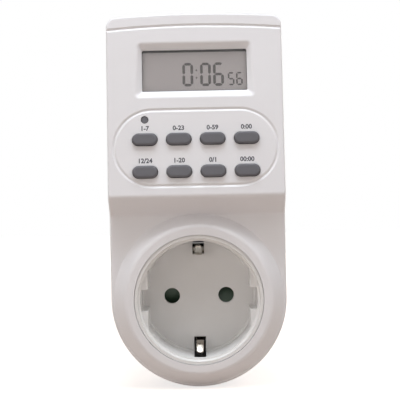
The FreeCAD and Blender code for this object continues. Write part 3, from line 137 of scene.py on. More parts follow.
def scale_for(width_mm):
    """The scale at which one feature of a pattern is width_mm wide: one over the width in metres."""
    return 1 / (width_mm * MM)


def finish(tree, shader, patches, tones, grain, smoothest, roughest, depth_mm, strength):
    """Colour from the patches, between two tones; roughness and relief from the grain."""
    tint = add(tree, "ShaderNodeMix", {MIX_FACTOR: patches, MIX_FIRST: linear(tones[0]),
                                       MIX_SECOND: linear(tones[1])}, data_type="RGBA")
    gloss = add(tree, "ShaderNodeMapRange", {"Value": grain, "From Min": NOISE_LOW, "From Max": NOISE_HIGH,
                                             "To Min": smoothest, "To Max": roughest})
    relief = add(tree, "ShaderNodeBump", {"Height": grain, "Distance": depth_mm * MM,
                                          "Strength": strength})
    tree.links.new(tint.outputs[MIX_COLOUR], shader.inputs["Base Color"])
    tree.links.new(gloss.outputs[0], shader.inputs["Roughness"])
    tree.links.new(relief.outputs[0], shader.inputs["Normal"])


print("scale of a pattern whose features are 0.6 mm wide:", round(scale_for(0.6)))

# %% [markdown]
# ## Moulded plastic
#
# The housing is ABS, moulded in a steel tool that was spark-eroded to a fine satin. Two things make such
# a part look real: a faint grain in its gloss, about a third of a millimetre across, and a very slow drift
# of its colour, over about 22 millimetres. Both come from noise on Object coordinates, so they stay put
# when a piece moves. The grain's real depth is a few microns; it is drawn a little deeper, because it
# would not show otherwise.

# %% Moulded plastic as one function
DRIFT_MM = 200 / 9
SATIN_SWING = 0.05
MOULD_RELIEF = 0.6


def moulded(name, colour, shade, rough, grain_mm, depth_mm, **surface):
    """Plastic from a mould: two close colours, an uneven gloss and a fine grain.

    grain_mm is the width of one grain, and with the gap beside it makes one feature of the noise; depth_mm
    is its height. shade is the darker of the two colours.
    """
    material, tree, shader = new_material(name, **surface)
    place = add(tree, "ShaderNodeTexCoord").outputs["Object"]
    drift = add(tree, "ShaderNodeTexNoise",
                {"Vector": place, "Scale": scale_for(DRIFT_MM), "Detail": 3.0})
    grain = add(tree, "ShaderNodeTexNoise",
                {"Vector": place, "Scale": scale_for(grain_mm * 2), "Detail": 2.0})
    finish(tree, shader, drift.outputs[0], (colour, shade), grain.outputs[0], rough - SATIN_SWING,
           rough + SATIN_SWING, depth_mm, MOULD_RELIEF)
    return material


# ABS: a cool satin white, whose highlights are soft and a little grainy.
housing_white = moulded("spark_eroded_white_abs", "#e9e9ec", "#e5e4e7", 0.42, 0.30, 0.008, IOR=1.53)
print(housing_white.name, "has", len(housing_white.node_tree.nodes), "nodes")

# %% [markdown]
# Each plastic starts from what the real one is. The housing's ABS and the well's harder PBT are both satin
# whites with soft highlights, the well's a little greyer. Nylon is waxy and a little duller. Silicone
# rubber has the lowest IOR here, so its highlights are weak, which is what tells the keys from the hard
# plastic.

# %% Plastics and rubbers of the well, the shutter and the keys
# PBT: the same satin, but a neutral white.
well_white = moulded("satin_white_pbt", "#e6e6e6", "#e1e1e0", 0.40, 0.30, 0.008, IOR=1.55)
# Coloured nylon: a dark green that looks nearly black in the depth of a hole.
shutter_green = moulded("green_moulded_nylon", "#334a38", "#293d2f", 0.42, 0.25, 0.006, IOR=1.53)
# Uncoloured nylon: warm, milky and dull.
nylon_natural = moulded("natural_moulded_nylon", "#d9d2c2", "#cfc7b5", 0.50, 0.30, 0.008, IOR=1.53)
# Silicone rubber: a soft dark grey with hardly any shine.
key_rubber = moulded("grey_silicone_rubber", "#68686d", "#606065", 0.55, 0.18, 0.006, IOR=1.43)
# The same rubber with little pigment: a pale cloudy grey.
mat_rubber = moulded("translucent_silicone_rubber", "#8f9190", "#838584", 0.50, 0.25, 0.006, IOR=1.43)
print("materials, with those of the CAD model:", len(bpy.data.materials))

# %% Cases, coatings and insulation inside
# Dark thermoplastic of a relay's cover: even and fairly glossy.
relay_case = moulded("dark_relay_case", "#20242b", "#1a1d23", 0.38, 0.30, 0.006, IOR=1.55)
# Filled polyester box: ochre, with a clear sheen.
film_case = moulded("ochre_capacitor_case", "#c89a2e", "#bd8f27", 0.35, 0.30, 0.006, IOR=1.55)
# Transfer-moulded epoxy: black and dull, with a very fine grain.
black_epoxy = moulded("black_moulded_epoxy", "#191919", "#121212", 0.50, 0.15, 0.006, IOR=1.55)
# Dipped coating: thick and glossy, with the slow ripple of a liquid that ran before it set.
varistor_blue = moulded("dipped_blue_coating", "#2c5a9c", "#264f8b", 0.32, 0.60, 0.020, IOR=1.52)
# Cement coating of a resistor: grey-green and a little lumpy.
resistor_green = moulded("grey_green_resistor_coating", "#7d8f86", "#72837a", 0.45, 0.40, 0.015, IOR=1.52)
# Heat-shrunk film: tight and shiny, with faint wide wrinkles.
sleeve_dark = moulded("shrunk_dark_sleeve", "#1b2130", "#161b28", 0.30, 0.80, 0.010, IOR=1.52)
# Extruded vinyl: smooth, with a soft highlight along each wire.
wire_brown = moulded("brown_vinyl_insulation", "#5b3420", "#50301e", 0.40, 0.30, 0.005, IOR=1.52)
wire_blue = moulded("blue_vinyl_insulation", "#2b4f9a", "#26468a", 0.40, 0.30, 0.005, IOR=1.52)
# The ribbon's vinyl: duller than the wires' and slightly uneven.
ribbon_grey = moulded("grey_vinyl_ribbon", "#9a9a9a", "#8e8e8e", 0.45, 0.50, 0.020, IOR=1.52)
print("materials, with those of the CAD model:", len(bpy.data.materials))

# %% [markdown]
# ## Plated metal
#
# The earth strip, the pins and the crystal's can are nickel plated, the screws are zinc plated, and the
# contact sleeves are bare drawn brass. A metal has no colour of its own beyond what it reflects. What
# tells a stamped strip from a turned pin is the direction of its fine scratches, so the noise is
# stretched: a small scale along an axis draws the scratches out along it. A real scratch is about a
# hundredth of a millimetre wide; it is drawn ten times as wide, because it would not show otherwise.

# %% Metal as one function
CLOUD_MM = 10 / 3
SMOOTHER, ROUGHER = 0.06, 0.08
SCRATCH_RELIEF = 0.5


def plated(name, colour, shade, rough, stretch, scratch_mm=0.12, depth_mm=0.003):
    """Metal with fine scratches: stretch is the noise's scale along x, y and z, small along a scratch.

    scratch_mm is the width of one scratch, and with the gap beside it makes one feature of the noise.
    """
    material, tree, shader = new_material(name, Metallic=1.0)
    place = add(tree, "ShaderNodeTexCoord").outputs["Object"]
    drawn = add(tree, "ShaderNodeMapping", {"Vector": place, "Scale": stretch})
    scratch = add(tree, "ShaderNodeTexNoise",
                  {"Vector": drawn.outputs[0], "Scale": scale_for(scratch_mm * 2), "Detail": 3.0})
    cloud = add(tree, "ShaderNodeTexNoise",
                {"Vector": place, "Scale": scale_for(CLOUD_MM), "Detail": 2.0})
    finish(tree, shader, cloud.outputs[0], (colour, shade), scratch.outputs[0], rough - SMOOTHER,
           rough + ROUGHER, depth_mm, SCRATCH_RELIEF)
    return material


# Nickel on rolled and stamped strip: a warm grey mirror, blurred a little by marks along its length.
nickel_strip = plated("stamped_nickel_plated_strip", "#b8b2a8", "#a49d93", 0.20, (1.0, 0.15, 0.15))
print(nickel_strip.name, "has", len(nickel_strip.node_tree.nodes), "nodes")

# %% Metals of the pins, sleeves, screws and spring
# Nickel on turned brass: brighter, with fine rings round the pin.
nickel_turned = plated("turned_nickel_plated_brass", "#c9c5bc", "#bdb8ae", 0.18, (0.25, 1.0, 0.25),
                       scratch_mm=0.10, depth_mm=0.001)
# Bare drawn brass: yellow, with streaks along the sleeve.
brass_drawn = plated("drawn_brass", "#c7a35a", "#b8934c", 0.30, (1.0, 0.12, 1.0))
# Zinc on steel: a cool, cloudy grey.
steel_zinc = plated("zinc_plated_steel", "#b6bbc2", "#a2a8b2", 0.34, (1.0, 1.0, 1.0))
# Drawn spring wire: darker and finely marked.
steel_spring = plated("drawn_spring_steel", "#8d8f92", "#7d7f83", 0.32, (1.0, 1.0, 1.0), scratch_mm=0.08)
print("other metals:", [metal.name for metal in (nickel_turned, brass_drawn, steel_zinc, steel_spring)])

# %% [markdown]
# ## Circuit boards
#
# The boards are paper laminate under a green solder mask, with copper tracks that show as slightly lighter
# bands where the mask lies over them. A brick pattern with thin joints gives such bands. It is laid in the
# x-z plane, because the boards stand upright. Its rows are about 4 mm high, as wide mains tracks are, and
# four of them make one unit of the pattern.

# %% Solder mask over tracks
TRACK_ROW_MM = 25 / 6
ROWS_IN_UNIT = 4
TRACK_GAP = 0.012
TRACK_RISE_MM = 0.03

board_green, tree, shader = new_material("green_solder_mask_on_laminate", Roughness=0.35, IOR=1.52)
place = add(tree, "ShaderNodeTexCoord").outputs["Object"]
upright = add(tree, "ShaderNodeMapping", {"Vector": place, "Rotation": (math.pi / 2, 0, 0)})
tracks = add(tree, "ShaderNodeTexBrick",
             {"Vector": upright.outputs[0], "Scale": scale_for(TRACK_ROW_MM * ROWS_IN_UNIT),
              "Mortar Size": TRACK_GAP, "Color1": linear("#1d5a33"), "Color2": linear("#246b3d"),
              "Mortar": linear("#184b2b")})
relief = add(tree, "ShaderNodeBump",
             {"Height": tracks.outputs["Fac"], "Distance": TRACK_RISE_MM * MM, "Strength": 0.5})
tree.links.new(tracks.outputs["Color"], shader.inputs["Base Color"])
tree.links.new(relief.outputs[0], shader.inputs["Normal"])
print("board material:", board_green.name)

# %% [markdown]
# ## Window and display glass
#
# The window is clear polished acrylic, so it is seen only by its reflections, and a very slow ripple keeps
# those from being perfect. A display of this kind is a thin sandwich of glass behind a grey polarizer:
# seen from the front it is a soft grey with a faint warm tint. Its own gloss is weak, because the window
# in front already takes most of the glare, and the digits have to stay readable from the side.

# %% Acrylic and polarizer
RIPPLE_MM = 50 / 3
RIPPLE_DEPTH_MM = 0.01
FILM_GLOSS = 0.15

window_clear, tree, shader = new_material("polished_clear_acrylic", Base_Color=(1, 1, 1, 1),
                                          Roughness=0.03, IOR=1.49, Transmission_Weight=1.0)
place = add(tree, "ShaderNodeTexCoord").outputs["Object"]
ripple = add(tree, "ShaderNodeTexNoise", {"Vector": place, "Scale": scale_for(RIPPLE_MM), "Detail": 0.0})
wave = add(tree, "ShaderNodeBump",
           {"Height": ripple.outputs[0], "Distance": RIPPLE_DEPTH_MM * MM, "Strength": 0.1})
tree.links.new(wave.outputs[0], shader.inputs["Normal"])

display_grey = moulded("grey_display_polarizer", "#aca5a4", "#a39b9a", 0.45, 0.60, 0.002, IOR=1.50,
                       Specular_IOR_Level=FILM_GLOSS)
print("window and display:", window_clear.name, display_grey.name)

# %% [markdown]
# ## Give each CAD piece its material
#
# A CAD piece keeps its mesh and its place. Only the material in its slots changes.

# %% Assign materials to the CAD pieces
finishes = {
    housing_white: ["front_housing", "rear_housing"],
    well_white: ["socket_insert"],
    shutter_green: ["shutter"],
    nylon_natural: ["shutter_retainer", "contact_carrier", "lcd_frame"],
    key_rubber: [f"key_{number}" for number in range(1, 9)] + ["reset_key"],
    mat_rubber: ["keypad_mat", "zebra_strip"],
    nickel_strip: ["earth_bracket_front", "earth_bracket_rear"],
    nickel_turned: ["plug_pin_left", "plug_pin_right", "crystal", "backup_battery"],
    brass_drawn: ["contact_left", "contact_right"],
    steel_zinc: ["housing_screws", "board_screws", "shutter_screw"],
    steel_spring: ["shutter_spring"],
    window_clear: ["window_lens"],
    display_grey: ["lcd_glass"],
    board_green: ["display_board", "power_board"],
    relay_case: ["relay"],
    film_case: ["film_capacitor"],
    black_epoxy: ["driver_chip", "diodes"],
    sleeve_dark: ["electrolytic_capacitor"],
    varistor_blue: ["varistor"],
    resistor_green: ["fuse_resistor"],
    wire_brown: ["wire_live_in", "wire_live_out"],
    wire_blue: ["wire_neutral"],
    ribbon_grey: ["ribbon_cable"],
}
for material, names in finishes.items():
    for name in names:
        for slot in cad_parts[name].material_slots:
            slot.material = material
dressed = {name for names in finishes.values() for name in names}
print("dressed:", len(dressed), "missing:", sorted(set(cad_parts) - dressed))

# %% [markdown]
# ## A frame for the sloping panel
#
# The panel leans back by eight degrees. Everything on it is easier to place by how far it lies across, how
# far up the slope from the step's edge, and how deep in the housing. One function turns those three
# distances into the object's own axes, for whole arrays at once.

# %% From the panel's own distances to the object's axes
PANEL_TILT = math.radians(8.0)
STEP_EDGE = (-56.57, 34.5)
PANEL_LENGTH = 63.6


def on_panel(across, up, deep):
    """Places in metres: up runs along the slope, deep runs squarely into it, both from the step's edge.

    y = edge + deep * cos(tilt) + up * sin(tilt), z = edge - deep * sin(tilt) + up * cos(tilt).
    """
    across, up, deep = np.broadcast_arrays(across, up, deep)
    y = STEP_EDGE[0] + deep * math.cos(PANEL_TILT) + up * math.sin(PANEL_TILT)
    z = STEP_EDGE[1] - deep * math.sin(PANEL_TILT) + up * math.cos(PANEL_TILT)
    return np.stack([across, y, z], axis=-1) * MM


print("panel's upper end, mm:", np.round(on_panel(0.0, PANEL_LENGTH, 0.0) / MM, 1))

# %% [markdown]
# ## Earth tongues
#
# The outlet's earth contact is one nickel-plated strip behind the well. Each end is bent forward through a
# slot and bowed: it leans to the socket's middle, where it presses on a plug's earth contact, and flares
# away at its tip so that the plug slides in. The strip's corners are stamped round and its face is
# slightly crowned, which gives each tongue its bright spot. A section carried along a path makes all of
# that in one surface, and it takes the place of the plain strip.
#
# The path's corners are given as the distance ahead of the wall and the height over the socket's middle.
# The strip sits a little low, so its two ends are not quite alike.

# %% The strip's line
UPPER_HALF = ((44.35, 18.0), (41.4, 14.65), (34.7, 16.3), (22.2, 16.3))
LOWER_HALF = ((22.2, -16.3), (34.7, -16.3), (41.1, -15.4), (44.35, -19.0))
BEND_REACH = np.array([[1.6], [1.0], [1.0], [1.0], [1.0], [1.9]])


def bent_line(corners, reach, steps=11):
    """Straight runs joined by arcs: near a corner p the line follows (1-t)^2 a + 2t(1-t) p + t^2 b.

    The arc's ends a and b lie on the two runs, reach away from p.
    """
    before, corner, after = corners[:-2], corners[1:-1], corners[2:]
    start = corner + (before - corner) / np.linalg.norm(before - corner, axis=1, keepdims=True) * reach
    end = corner + (after - corner) / np.linalg.norm(after - corner, axis=1, keepdims=True) * reach
    t = np.linspace(0, 1, steps)[None, :, None]
    arcs = (1 - t) ** 2 * start[:, None] + 2 * t * (1 - t) * corner[:, None] + t ** 2 * end[:, None]
    return np.concatenate([corners[:1], arcs.reshape(-1, 2), corners[-1:]])


strip_line = bent_line(np.array(UPPER_HALF + LOWER_HALF), BEND_REACH)
print("points along the strip:", len(strip_line))

# %% The strip's width
TONGUE_WIDTH = 2.5
TIP_WIDTH = 2.2
TAPER = 4.5
CORNER_ROUND = 1.05


def half_width(left):
    """Half the strip's width where its nearer tip is left away.

    It narrows evenly over the taper. Within the corner radius c of the tip, each side moves in by a
    further c - sqrt(c^2 - (c - left)^2).
    """
    inside = CORNER_ROUND - np.minimum(left, CORNER_ROUND)
    straight = np.interp(left, [0, TAPER], [TIP_WIDTH / 2, TONGUE_WIDTH / 2])
    return straight - CORNER_ROUND + np.sqrt(CORNER_ROUND ** 2 - inside ** 2)


print("width at 0, 1 and 5 mm from a tip:", np.round(2 * half_width(np.array([0.0, 1.0, 5.0])), 2))

# %% The strip's surface
STRIP_THICK = 0.75
CROWN = 0.12


def strip_surface(line, across_steps=9, corner_steps=8):
    """Rings of points round a strip that follows line, closer together where its corners are round.

    Across the strip, u runs from -1 to 1, and its face stands crown * (1 - u^2) towards its front. A ring
    goes over the front and comes back behind. Stops along the line that agree to four decimals are one.
    """
    step = np.linalg.norm(np.diff(line, axis=0), axis=1)
    run = np.concatenate([[0.0], np.cumsum(step)])
    near_end = CORNER_ROUND * (1 - np.cos(np.linspace(0, math.pi / 2, corner_steps)))
    stops = np.unique(np.concatenate([near_end, run, run[-1] - near_end]).round(4))
    line = np.stack([np.interp(stops, run, line[:, axis]) for axis in (0, 1)], axis=1)
    along = np.gradient(line, stops, axis=0)
    along /= np.linalg.norm(along, axis=1, keepdims=True)
    front = np.stack([-along[:, 1], along[:, 0]], axis=1)
    u = np.linspace(-1, 1, across_steps)
    lift = CROWN * (1 - u ** 2)
    ring_u = np.concatenate([u, u[::-1]])
    ring_lift = np.concatenate([lift + STRIP_THICK / 2, lift[::-1] - STRIP_THICK / 2])
    flat = line[:, None] + front[:, None] * ring_lift[None, :, None]
    across = half_width(np.minimum(stops, stops[-1] - stops))[:, None] * ring_u[None, :]
    return np.stack([across, -flat[..., 0], flat[..., 1]], axis=-1) * MM


rings = strip_surface(strip_line)
print("rings:", rings.shape[0], "points in each:", rings.shape[1])

# %% [markdown]
# The faces join each ring to the next. At each end of the strip, the last ring is closed by faces from its
# front to its back. A closed surface whose faces all point outwards has a positive volume, which is a
# quick check.

# %% Faces of the strip


def ring_faces(ring_total, ring_size):
    """Quads between rings that follow one another, and quads across the first and the last ring."""
    index = np.arange(ring_total * ring_size).reshape(ring_total, ring_size)
    beside = np.roll(index, -1, axis=1)
    walls = np.stack([index[1:], beside[1:], beside[:-1], index[:-1]], axis=-1).reshape(-1, 4)
    near = np.arange(ring_size // 2 - 1)
    far = ring_size - 1 - near
    first, last = index[0], index[-1]
    first_end = np.stack([first[near + 1], first[far - 1], first[far], first[near]], axis=-1)
    last_end = np.stack([last[far], last[far - 1], last[near + 1], last[near]], axis=-1)
    return np.concatenate([walls, first_end, last_end])


def volume_of(points, quads):
    """The volume inside a closed surface: a sixth of the sum, over its triangles abc, of a . (b x c)."""
    triangles = points[np.concatenate([quads[:, [0, 1, 2]], quads[:, [0, 2, 3]]])]
    return np.einsum("ij,ij->", triangles[:, 0], np.cross(triangles[:, 1], triangles[:, 2])) / 6


strip_faces = ring_faces(*rings.shape[:2])
volume = volume_of(rings.reshape(-1, 3) / MM, strip_faces)
print("strip faces:", len(strip_faces), "volume, cubic mm:", round(float(volume), 1))

# %% [markdown]
# A new piece is an object at the origin whose mesh is already in its place, as a CAD piece's is. It rides
# on the body that carries it, and names the material slot that it belongs to. This one stands for the
# plain strip, which stays hidden. It is shaded smooth, except at edges sharper than 40 degrees.

# %% The strip as a piece
SHARP_EDGE = math.radians(40)


def place_piece(name, mesh, material):
    """Put a mesh that is already in its place on the housing."""
    mesh.materials.append(material)
    piece = bpy.data.objects.new(name, mesh)
    bpy.context.scene.collection.objects.link(piece)
    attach(piece, "housing")
    return piece


def new_piece(name, places, faces, material):
    """A piece from places in metres, and from faces that are lists of the places' numbers."""
    mesh = bpy.data.meshes.new(name)
    mesh.from_pydata(places.reshape(-1, 3).tolist(), [], faces)
    return place_piece(name, mesh, material)


tongues = new_piece("earth_tongues", rings, strip_faces.tolist(), nickel_strip)
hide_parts("earth_bracket_front")
tongues.data.polygons.foreach_set("use_smooth", [True] * len(strip_faces))
tongues.data.set_sharp_from_angle(angle=SHARP_EDGE)
print("new piece:", tongues.name, "points:", len(tongues.data.vertices))

# %% [markdown]
# ## Digits of the display
#
# A display of this kind makes each digit from seven bars with mitred ends, etched in a clear film between
# the two glasses. So a bar is a long hexagon, and a digit is a choice of seven places. All the bars that
# are dark go into one mesh, which lies a hair in front of the grey glass. Two digits are smaller: they
# count the seconds. The two dots of the colon are short bars.

# %% Places of the bars
SEGMENT_PLACES = {"a": ((0, 1), (1, 1)), "b": ((1, 1), (1, 0.5)), "c": ((1, 0.5), (1, 0)),
                  "d": ((0, 0), (1, 0)), "e": ((0, 0), (0, 0.5)), "f": ((0, 0.5), (0, 1)),
                  "g": ((0, 0.5), (1, 0.5))}
DIGIT_SEGMENTS = {"0": "abcdef", "5": "acdfg", "6": "acdefg"}
LARGE = dict(low=38.45, width=3.65, height=8.2, stroke=0.92)
SMALL = dict(low=38.55, width=2.25, height=4.6, stroke=0.55)
DIGITS = (("0", -2.26, LARGE), ("0", 3.77, LARGE), ("6", 8.17, LARGE), ("5", 12.45, SMALL),
          ("6", 15.25, SMALL))
COLON_ACROSS = 0.7
COLON_DOTS = (41.4, 44.0)
COLON_STROKE = 0.5


def digit_bars(digit, middle, low, width, height, stroke):
    """Both ends of each dark bar of a digit whose outer size is width by height."""
    ends = np.array([SEGMENT_PLACES[letter] for letter in DIGIT_SEGMENTS[digit]], dtype=float)
    inner = np.array([width - stroke, height - stroke])
    return ends * inner + np.array([middle - inner[0] / 2, low + stroke / 2])


groups = [(digit_bars(digit, middle, **size), size["stroke"]) for digit, middle, size in DIGITS]
colon = [[(COLON_ACROSS, up - COLON_STROKE), (COLON_ACROSS, up + COLON_STROKE)] for up in COLON_DOTS]
groups.append((np.array(colon), COLON_STROKE))
ends = np.concatenate([bars for bars, stroke in groups])
strokes = np.concatenate([np.full(len(bars), stroke) for bars, stroke in groups])
print("dark bars:", len(ends))

# %% Mitred ends
BAR_GAP = 0.10


def mitred_bars(ends, stroke, gap):
    """Long hexagons: each bar is pulled in by gap at both ends and pointed at 45 degrees.

    With d the direction from end to end and n at right angles to it, the six corners are the two pulled-in
    ends and those ends moved by half a stroke along d and along n or against it.
    """
    first, last = ends[:, 0], ends[:, 1]
    along = last - first
    along /= np.linalg.norm(along, axis=1, keepdims=True)
    beside = np.stack([-along[:, 1], along[:, 0]], axis=1)
    half = np.asarray(stroke).reshape(-1, 1) / 2
    near, far = first + along * gap, last - along * gap
    corners = [near, near + (along - beside) * half, far - (along + beside) * half, far,
               far - (along - beside) * half, near + (along + beside) * half]
    return np.stack(corners, axis=1)


hexagons = mitred_bars(ends, strokes, BAR_GAP)
print("corners of each bar:", hexagons.shape[1])

# %% The digits as a piece
SEGMENT_DEEP = 3.76
FILM_THICK = 0.03


def thicken(piece, name, thick_mm):
    """Give flat faces a thickness behind them."""
    solid = piece.modifiers.new(name, "SOLIDIFY")
    solid.thickness = thick_mm * MM
    solid.offset = -1.0


# Dyed liquid crystal: a dark warm grey with the glass's weak gloss.
display_ink = moulded("dark_liquid_crystal_segment", "#524d4b", "#4a4543", 0.50, 0.30, 0.001, IOR=1.50,
                      Specular_IOR_Level=FILM_GLOSS)
places = on_panel(hexagons[..., 0], hexagons[..., 1], SEGMENT_DEEP)
faces = np.arange(places[..., 0].size).reshape(places.shape[:2]).tolist()
digits = new_piece("display_digits", places, faces, display_ink)
thicken(digits, "film", FILM_THICK)
print("new piece:", digits.name, "faces:", len(faces))

# %% [markdown]
# ## Epoxy seal of the display, and a painted shadow
#
# The two glasses are joined by a line of dark epoxy near their edge, which keeps the liquid in. Its upper
# run shows just under the window's edge, and is drawn wider than the rest: that wide dark run is painted
# shadow, standing for the shade that the window's top edge casts on the display. It is a thin ring: one loop
# of points is worked out for its inner edge, one for its outer edge, and the faces join them.

# %% Loops of the seal
# The upper run, from 50.35 to 51.8 up the slope, is wider than the sides and the foot: painted shadow under
# the window's top edge.
SEAL_AND_SHADOW_INNER = dict(half_width=17.75, low=36.4, high=50.35, radius=0.4)
SEAL_AND_SHADOW_OUTER = dict(half_width=18.6, low=35.7, high=51.8, radius=0.8)


def ring_loop(half_width, low, high, radius, steps=6):
    """Across and up of a rectangle with round corners, anticlockwise from the lower right corner.

    Each corner is a quarter circle: its centre plus radius times (cos t, sin t).
    """
    turn = np.linspace(0, math.pi / 2, steps)[None, :] + (np.arange(4)[:, None] - 1) * math.pi / 2
    side = np.array([1, 1, -1, -1])[:, None] * (half_width - radius)
    level = np.array([low + radius, high - radius, high - radius, low + radius])[:, None]
    across, up = side + radius * np.cos(turn), level + radius * np.sin(turn)
    return np.stack([across.ravel(), up.ravel()], axis=-1)


loops = np.stack([ring_loop(**SEAL_AND_SHADOW_INNER), ring_loop(**SEAL_AND_SHADOW_OUTER)])
print("points in each loop:", loops.shape[1])

# %% The seal as a piece
# Cured epoxy: nearly black and dull, as a fine dark line; its wide upper run is painted shadow.
seal_and_painted_shadow = moulded("dark_epoxy_seal_and_painted_shadow", "#484442", "#3f3c3a", 0.55, 0.30, 0.002, IOR=1.54,
                     Specular_IOR_Level=FILM_GLOSS)
places = on_panel(loops[..., 0], loops[..., 1], SEGMENT_DEEP)
count = loops.shape[1]
inner = np.arange(count)
after = (inner + 1) % count
faces = np.stack([inner, inner + count, after + count, after], axis=1).tolist()
seal_with_painted_shadow = new_piece("display_seal_and_painted_shadow", places, faces, seal_and_painted_shadow)
thicken(seal_with_painted_shadow, "bead", FILM_THICK)
print("new piece:", seal_with_painted_shadow.name, "faces:", len(faces))

# %% [markdown]
# ## Printed legends
#
# The marks above the keys are pad printed: a soft silicone pad lifts thin ink from an etched plate and
# presses it on the finished face. The real ink is about a hundredth of a millimetre thick and a little
# matt; it is drawn twice as thick, so that it stands clear of the face. Each mark starts as a text curve,
# becomes a mesh, and only then gets its place on the slope. The marks are plain numbers: the days, the
# hours, the minutes, and so on.

# %% Lettering as a mesh
LEGEND_HEIGHT = 1.5
CAPITAL_SHARE = 0.7
STROKE_GROWTH = 0.07
INK_THICK = 0.02


def text_mesh(name, words):
    """Lettering as a mesh, and its points in mm: centred across, its foot on the x axis.

    A capital is about 0.7 of the size of its font, so the size is the height over that share.
    """
    curve = bpy.data.curves.new(name, "FONT")
    curve.body = words
    curve.align_x = "CENTER"
    curve.size = LEGEND_HEIGHT / CAPITAL_SHARE
    curve.extrude = INK_THICK / 2
    curve.offset = STROKE_GROWTH
    curve.resolution_u = 3
    holder = bpy.data.objects.new(name, curve)
    mesh = bpy.data.meshes.new_from_object(holder)
    bpy.data.objects.remove(holder)
    points = np.empty(len(mesh.vertices) * 3)
    mesh.vertices.foreach_get("co", points)
    return mesh, points.reshape(-1, 3)


trial, points = text_mesh("trial", "0")
bpy.data.meshes.remove(trial)
print("height of a printed 0, mm:", round(float(np.ptp(points[:, 1])), 2))

# %% Legends above the keys
KEY_PITCH = 11.35
MIDDLE_COLUMN = 1.5
KEY_ROWS = (19.7, 8.7)
LEGEND_RISE = 3.1
LEGENDS = (("1-7", "0-23", "0-59", "0:00"), ("12/24", "1-20", "0/1", "00:00"))

# Pad-printing ink: a soft dark grey, flat and a little matt.
legend_ink = moulded("grey_pad_printed_ink", "#4f5058", "#46474f", 0.55, 0.20, 0.002, IOR=1.50)
legends = []
for up, words_in_row in zip(KEY_ROWS, LEGENDS):
    for column, words in enumerate(words_in_row):
        name = f"legend_{len(legends) + 1}"
        mesh, points = text_mesh(name, words)
        across = (column - MIDDLE_COLUMN) * KEY_PITCH + points[:, 0]
        places = on_panel(across, up + LEGEND_RISE + points[:, 1], -points[:, 2] - INK_THICK / 2)
        mesh.vertices.foreach_set("co", places.ravel())
        legends.append(place_piece(name, mesh, legend_ink))
print("legends:", [piece.name for piece in legends])

# %% [markdown]
# ## Floor
#
# The timer stands on plain white. Camera rays, mirrors and glass see white where they meet the background.
# The floor glows for those rays alone, most of all far away, so it looks white too, but it still darkens
# where the object keeps the lamps off it. For the light that bounces, the floor is a plain warm beige
# sheet, and that gives the object's lower sides their warm tone.

# %% Floor sheet
FLOOR_SIZE = 3000.0

foot = lowest[2]
outline = np.array([[-1, -1], [1, -1], [1, 1], [-1, 1]]) * FLOOR_SIZE / 2
sheet = bpy.data.meshes.new("floor")
sheet.from_pydata([(x * MM, y * MM, foot * MM) for x, y in outline.tolist()], [], [(0, 1, 2, 3)])
floor = bpy.data.objects.new("floor", sheet)
bpy.context.scene.collection.objects.link(floor)
print("floor at z =", round(float(foot), 2), "mm")

# %% Floor paint and its glow
GLOW_START, GLOW_END = 250.0, 900.0
GLOW_NEAR, GLOW_FAR = 0.72, 1.0


def seen_straight(tree):
    """An output that is 1 for rays from the camera, a mirror or glass, and 0 for scattered light."""
    path = add(tree, "ShaderNodeLightPath").outputs
    either = add(tree, "ShaderNodeMath", {0: path["Is Camera Ray"], 1: path["Is Glossy Ray"]},
                 operation="MAXIMUM")
    either = add(tree, "ShaderNodeMath", {0: either.outputs[0], 1: path["Is Transmission Ray"]},
                 operation="MAXIMUM")
    return either.outputs[0]


# Painted board: a dull warm beige, which the camera sees as white.
pale, tree, shader = new_material("pale_studio_floor", Base_Color=linear("#b9aa9f"), Roughness=0.8)
place = add(tree, "ShaderNodeTexCoord").outputs["Object"]
distance = add(tree, "ShaderNodeVectorMath", {0: place}, operation="LENGTH").outputs["Value"]
level = add(tree, "ShaderNodeMapRange", {"Value": distance, "From Min": GLOW_START * MM,
                                         "From Max": GLOW_END * MM, "To Min": GLOW_NEAR,
                                         "To Max": GLOW_FAR})
glow = add(tree, "ShaderNodeMath", {0: seen_straight(tree), 1: level.outputs[0]}, operation="MULTIPLY")
shader.inputs["Emission Color"].default_value = (1, 1, 1, 1)
tree.links.new(glow.outputs[0], shader.inputs["Emission Strength"])
sheet.materials.append(pale)
print("floor material:", pale.name)

# %% [markdown]
# ## Light from all round
#
# The light that comes from all round is that of a room with pale walls and a dark ceiling: strong near the
# horizon and nothing overhead. The walls fill the shade under the step, and the dark ceiling keeps the
# housing's top from turning plain white, because the top sees nothing but the ceiling and the lamps. The
# strength is that of the walls times (1 - height) ^ 4, where height is how far up a direction points.

# %% World
WALL_FALL_OFF = 4.0
WALL_STRENGTH = 0.91

world = bpy.data.worlds.new("studio")
bpy.context.scene.world = world
world.use_nodes = True
tree = world.node_tree
tree.nodes.clear()
direction = add(tree, "ShaderNodeTexCoord").outputs["Generated"]
height = add(tree, "ShaderNodeSeparateXYZ", {0: direction}).outputs[2]
near_wall = add(tree, "ShaderNodeMath", {0: 1.0, 1: height}, operation="SUBTRACT", use_clamp=True)
wall_light = add(tree, "ShaderNodeMath", {0: near_wall.outputs[0], 1: WALL_FALL_OFF}, operation="POWER")
wall_level = add(tree, "ShaderNodeMapRange",
                 {"Value": wall_light.outputs[0], "To Min": 0.0, "To Max": WALL_STRENGTH})
around = add(tree, "ShaderNodeBackground",
             {"Color": linear("#faf2eb"), "Strength": wall_level.outputs[0]})
white = add(tree, "ShaderNodeBackground", {"Color": (1, 1, 1, 1), "Strength": 1.0})
both = add(tree, "ShaderNodeMixShader",
           {0: seen_straight(tree), 1: around.outputs[0], 2: white.outputs[0]})
add(tree, "ShaderNodeOutputWorld", {"Surface": both.outputs[0]})
print("world nodes:", len(tree.nodes))

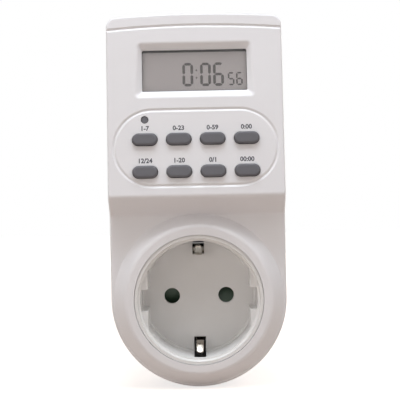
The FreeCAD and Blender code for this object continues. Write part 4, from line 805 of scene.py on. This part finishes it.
# %% [markdown]
# ## Lamps
#
# Five soft boxes light the timer. The overhead one stands a little in front, and is slightly blue: it
# makes the sloping panel bright and leaves the step below it in shade. One on each side, higher than the
# object and in front of it, lights the walls of the display's recess and the collar's slopes, the right
# one a little more. They are large, so that their reflections in the window stay broad and faint. A weak
# one fills in from the front at the object's own height, and one behind keeps the back from going dark in
# other views.

# %% Soft boxes
PANEL_MIDDLE = (0, -45, 60)
LAMPS = (
    # name, place, aim and size in mm, power in watts, colour
    ("overhead_soft_box", (-30, -225, 710), PANEL_MIDDLE, (420, 240), 3.35, "#eff7ff"),
    ("left_soft_box", (-460, -320, 590), PANEL_MIDDLE, (600, 500), 1.55, "#fffcfa"),
    ("right_soft_box", (460, -320, 590), PANEL_MIDDLE, (600, 500), 1.9, "#fffcfa"),
    ("front_fill", (-450, -650, 60), (0, -45, 40), (500, 400), 0.75, "#fff5ee"),
    ("back_fill", (300, 700, 120), (0, 0, 40), (400, 400), 3.2, "#fffaf6"),
)
for name, place_mm, aim_mm, size_mm, power, colour in LAMPS:
    lamp = bpy.data.lights.new(name, "AREA")
    lamp.shape = "RECTANGLE"
    lamp.size, lamp.size_y = (side * MM for side in size_mm)
    lamp.energy = power
    lamp.color = linear(colour)[:3]
    stand = bpy.data.objects.new(name, lamp)
    bpy.context.scene.collection.objects.link(stand)
    place, aim = Vector(place_mm) * MM, Vector(aim_mm) * MM
    stand.location = place
    stand.rotation_euler = (aim - place).to_track_quat("-Z", "Y").to_euler()
print("lamps:", [light.name for light in bpy.data.lights])

# %% [markdown]
# ## Camera
#
# The two pin holes are a known 19 mm apart, and the rim, the well's floor and the panel lie at known
# depths. Their sizes in the photograph give the lens and a distance of 340 mm from the rim, straight
# ahead. The object leans about one degree to the left in the picture, so the camera is rolled by as much.

# %% Camera
CAMERA_PLACE = (1.0, -393.0, 33.5)
LENS_MM = 91.4
ROLL = math.radians(1.2)

camera = bpy.data.cameras.new("camera")
camera.sensor_width = 36.0
camera.lens = LENS_MM
camera.clip_start = 0.01
stand = bpy.data.objects.new("camera", camera)
bpy.context.scene.collection.objects.link(stand)
stand.location = [value * MM for value in CAMERA_PLACE]
stand.rotation_euler = (math.pi / 2, ROLL, 0)
bpy.context.scene.camera = stand
bpy.context.scene.view_settings.view_transform = "Standard"
print("field of view:", round(math.degrees(camera.angle), 2), "degrees")
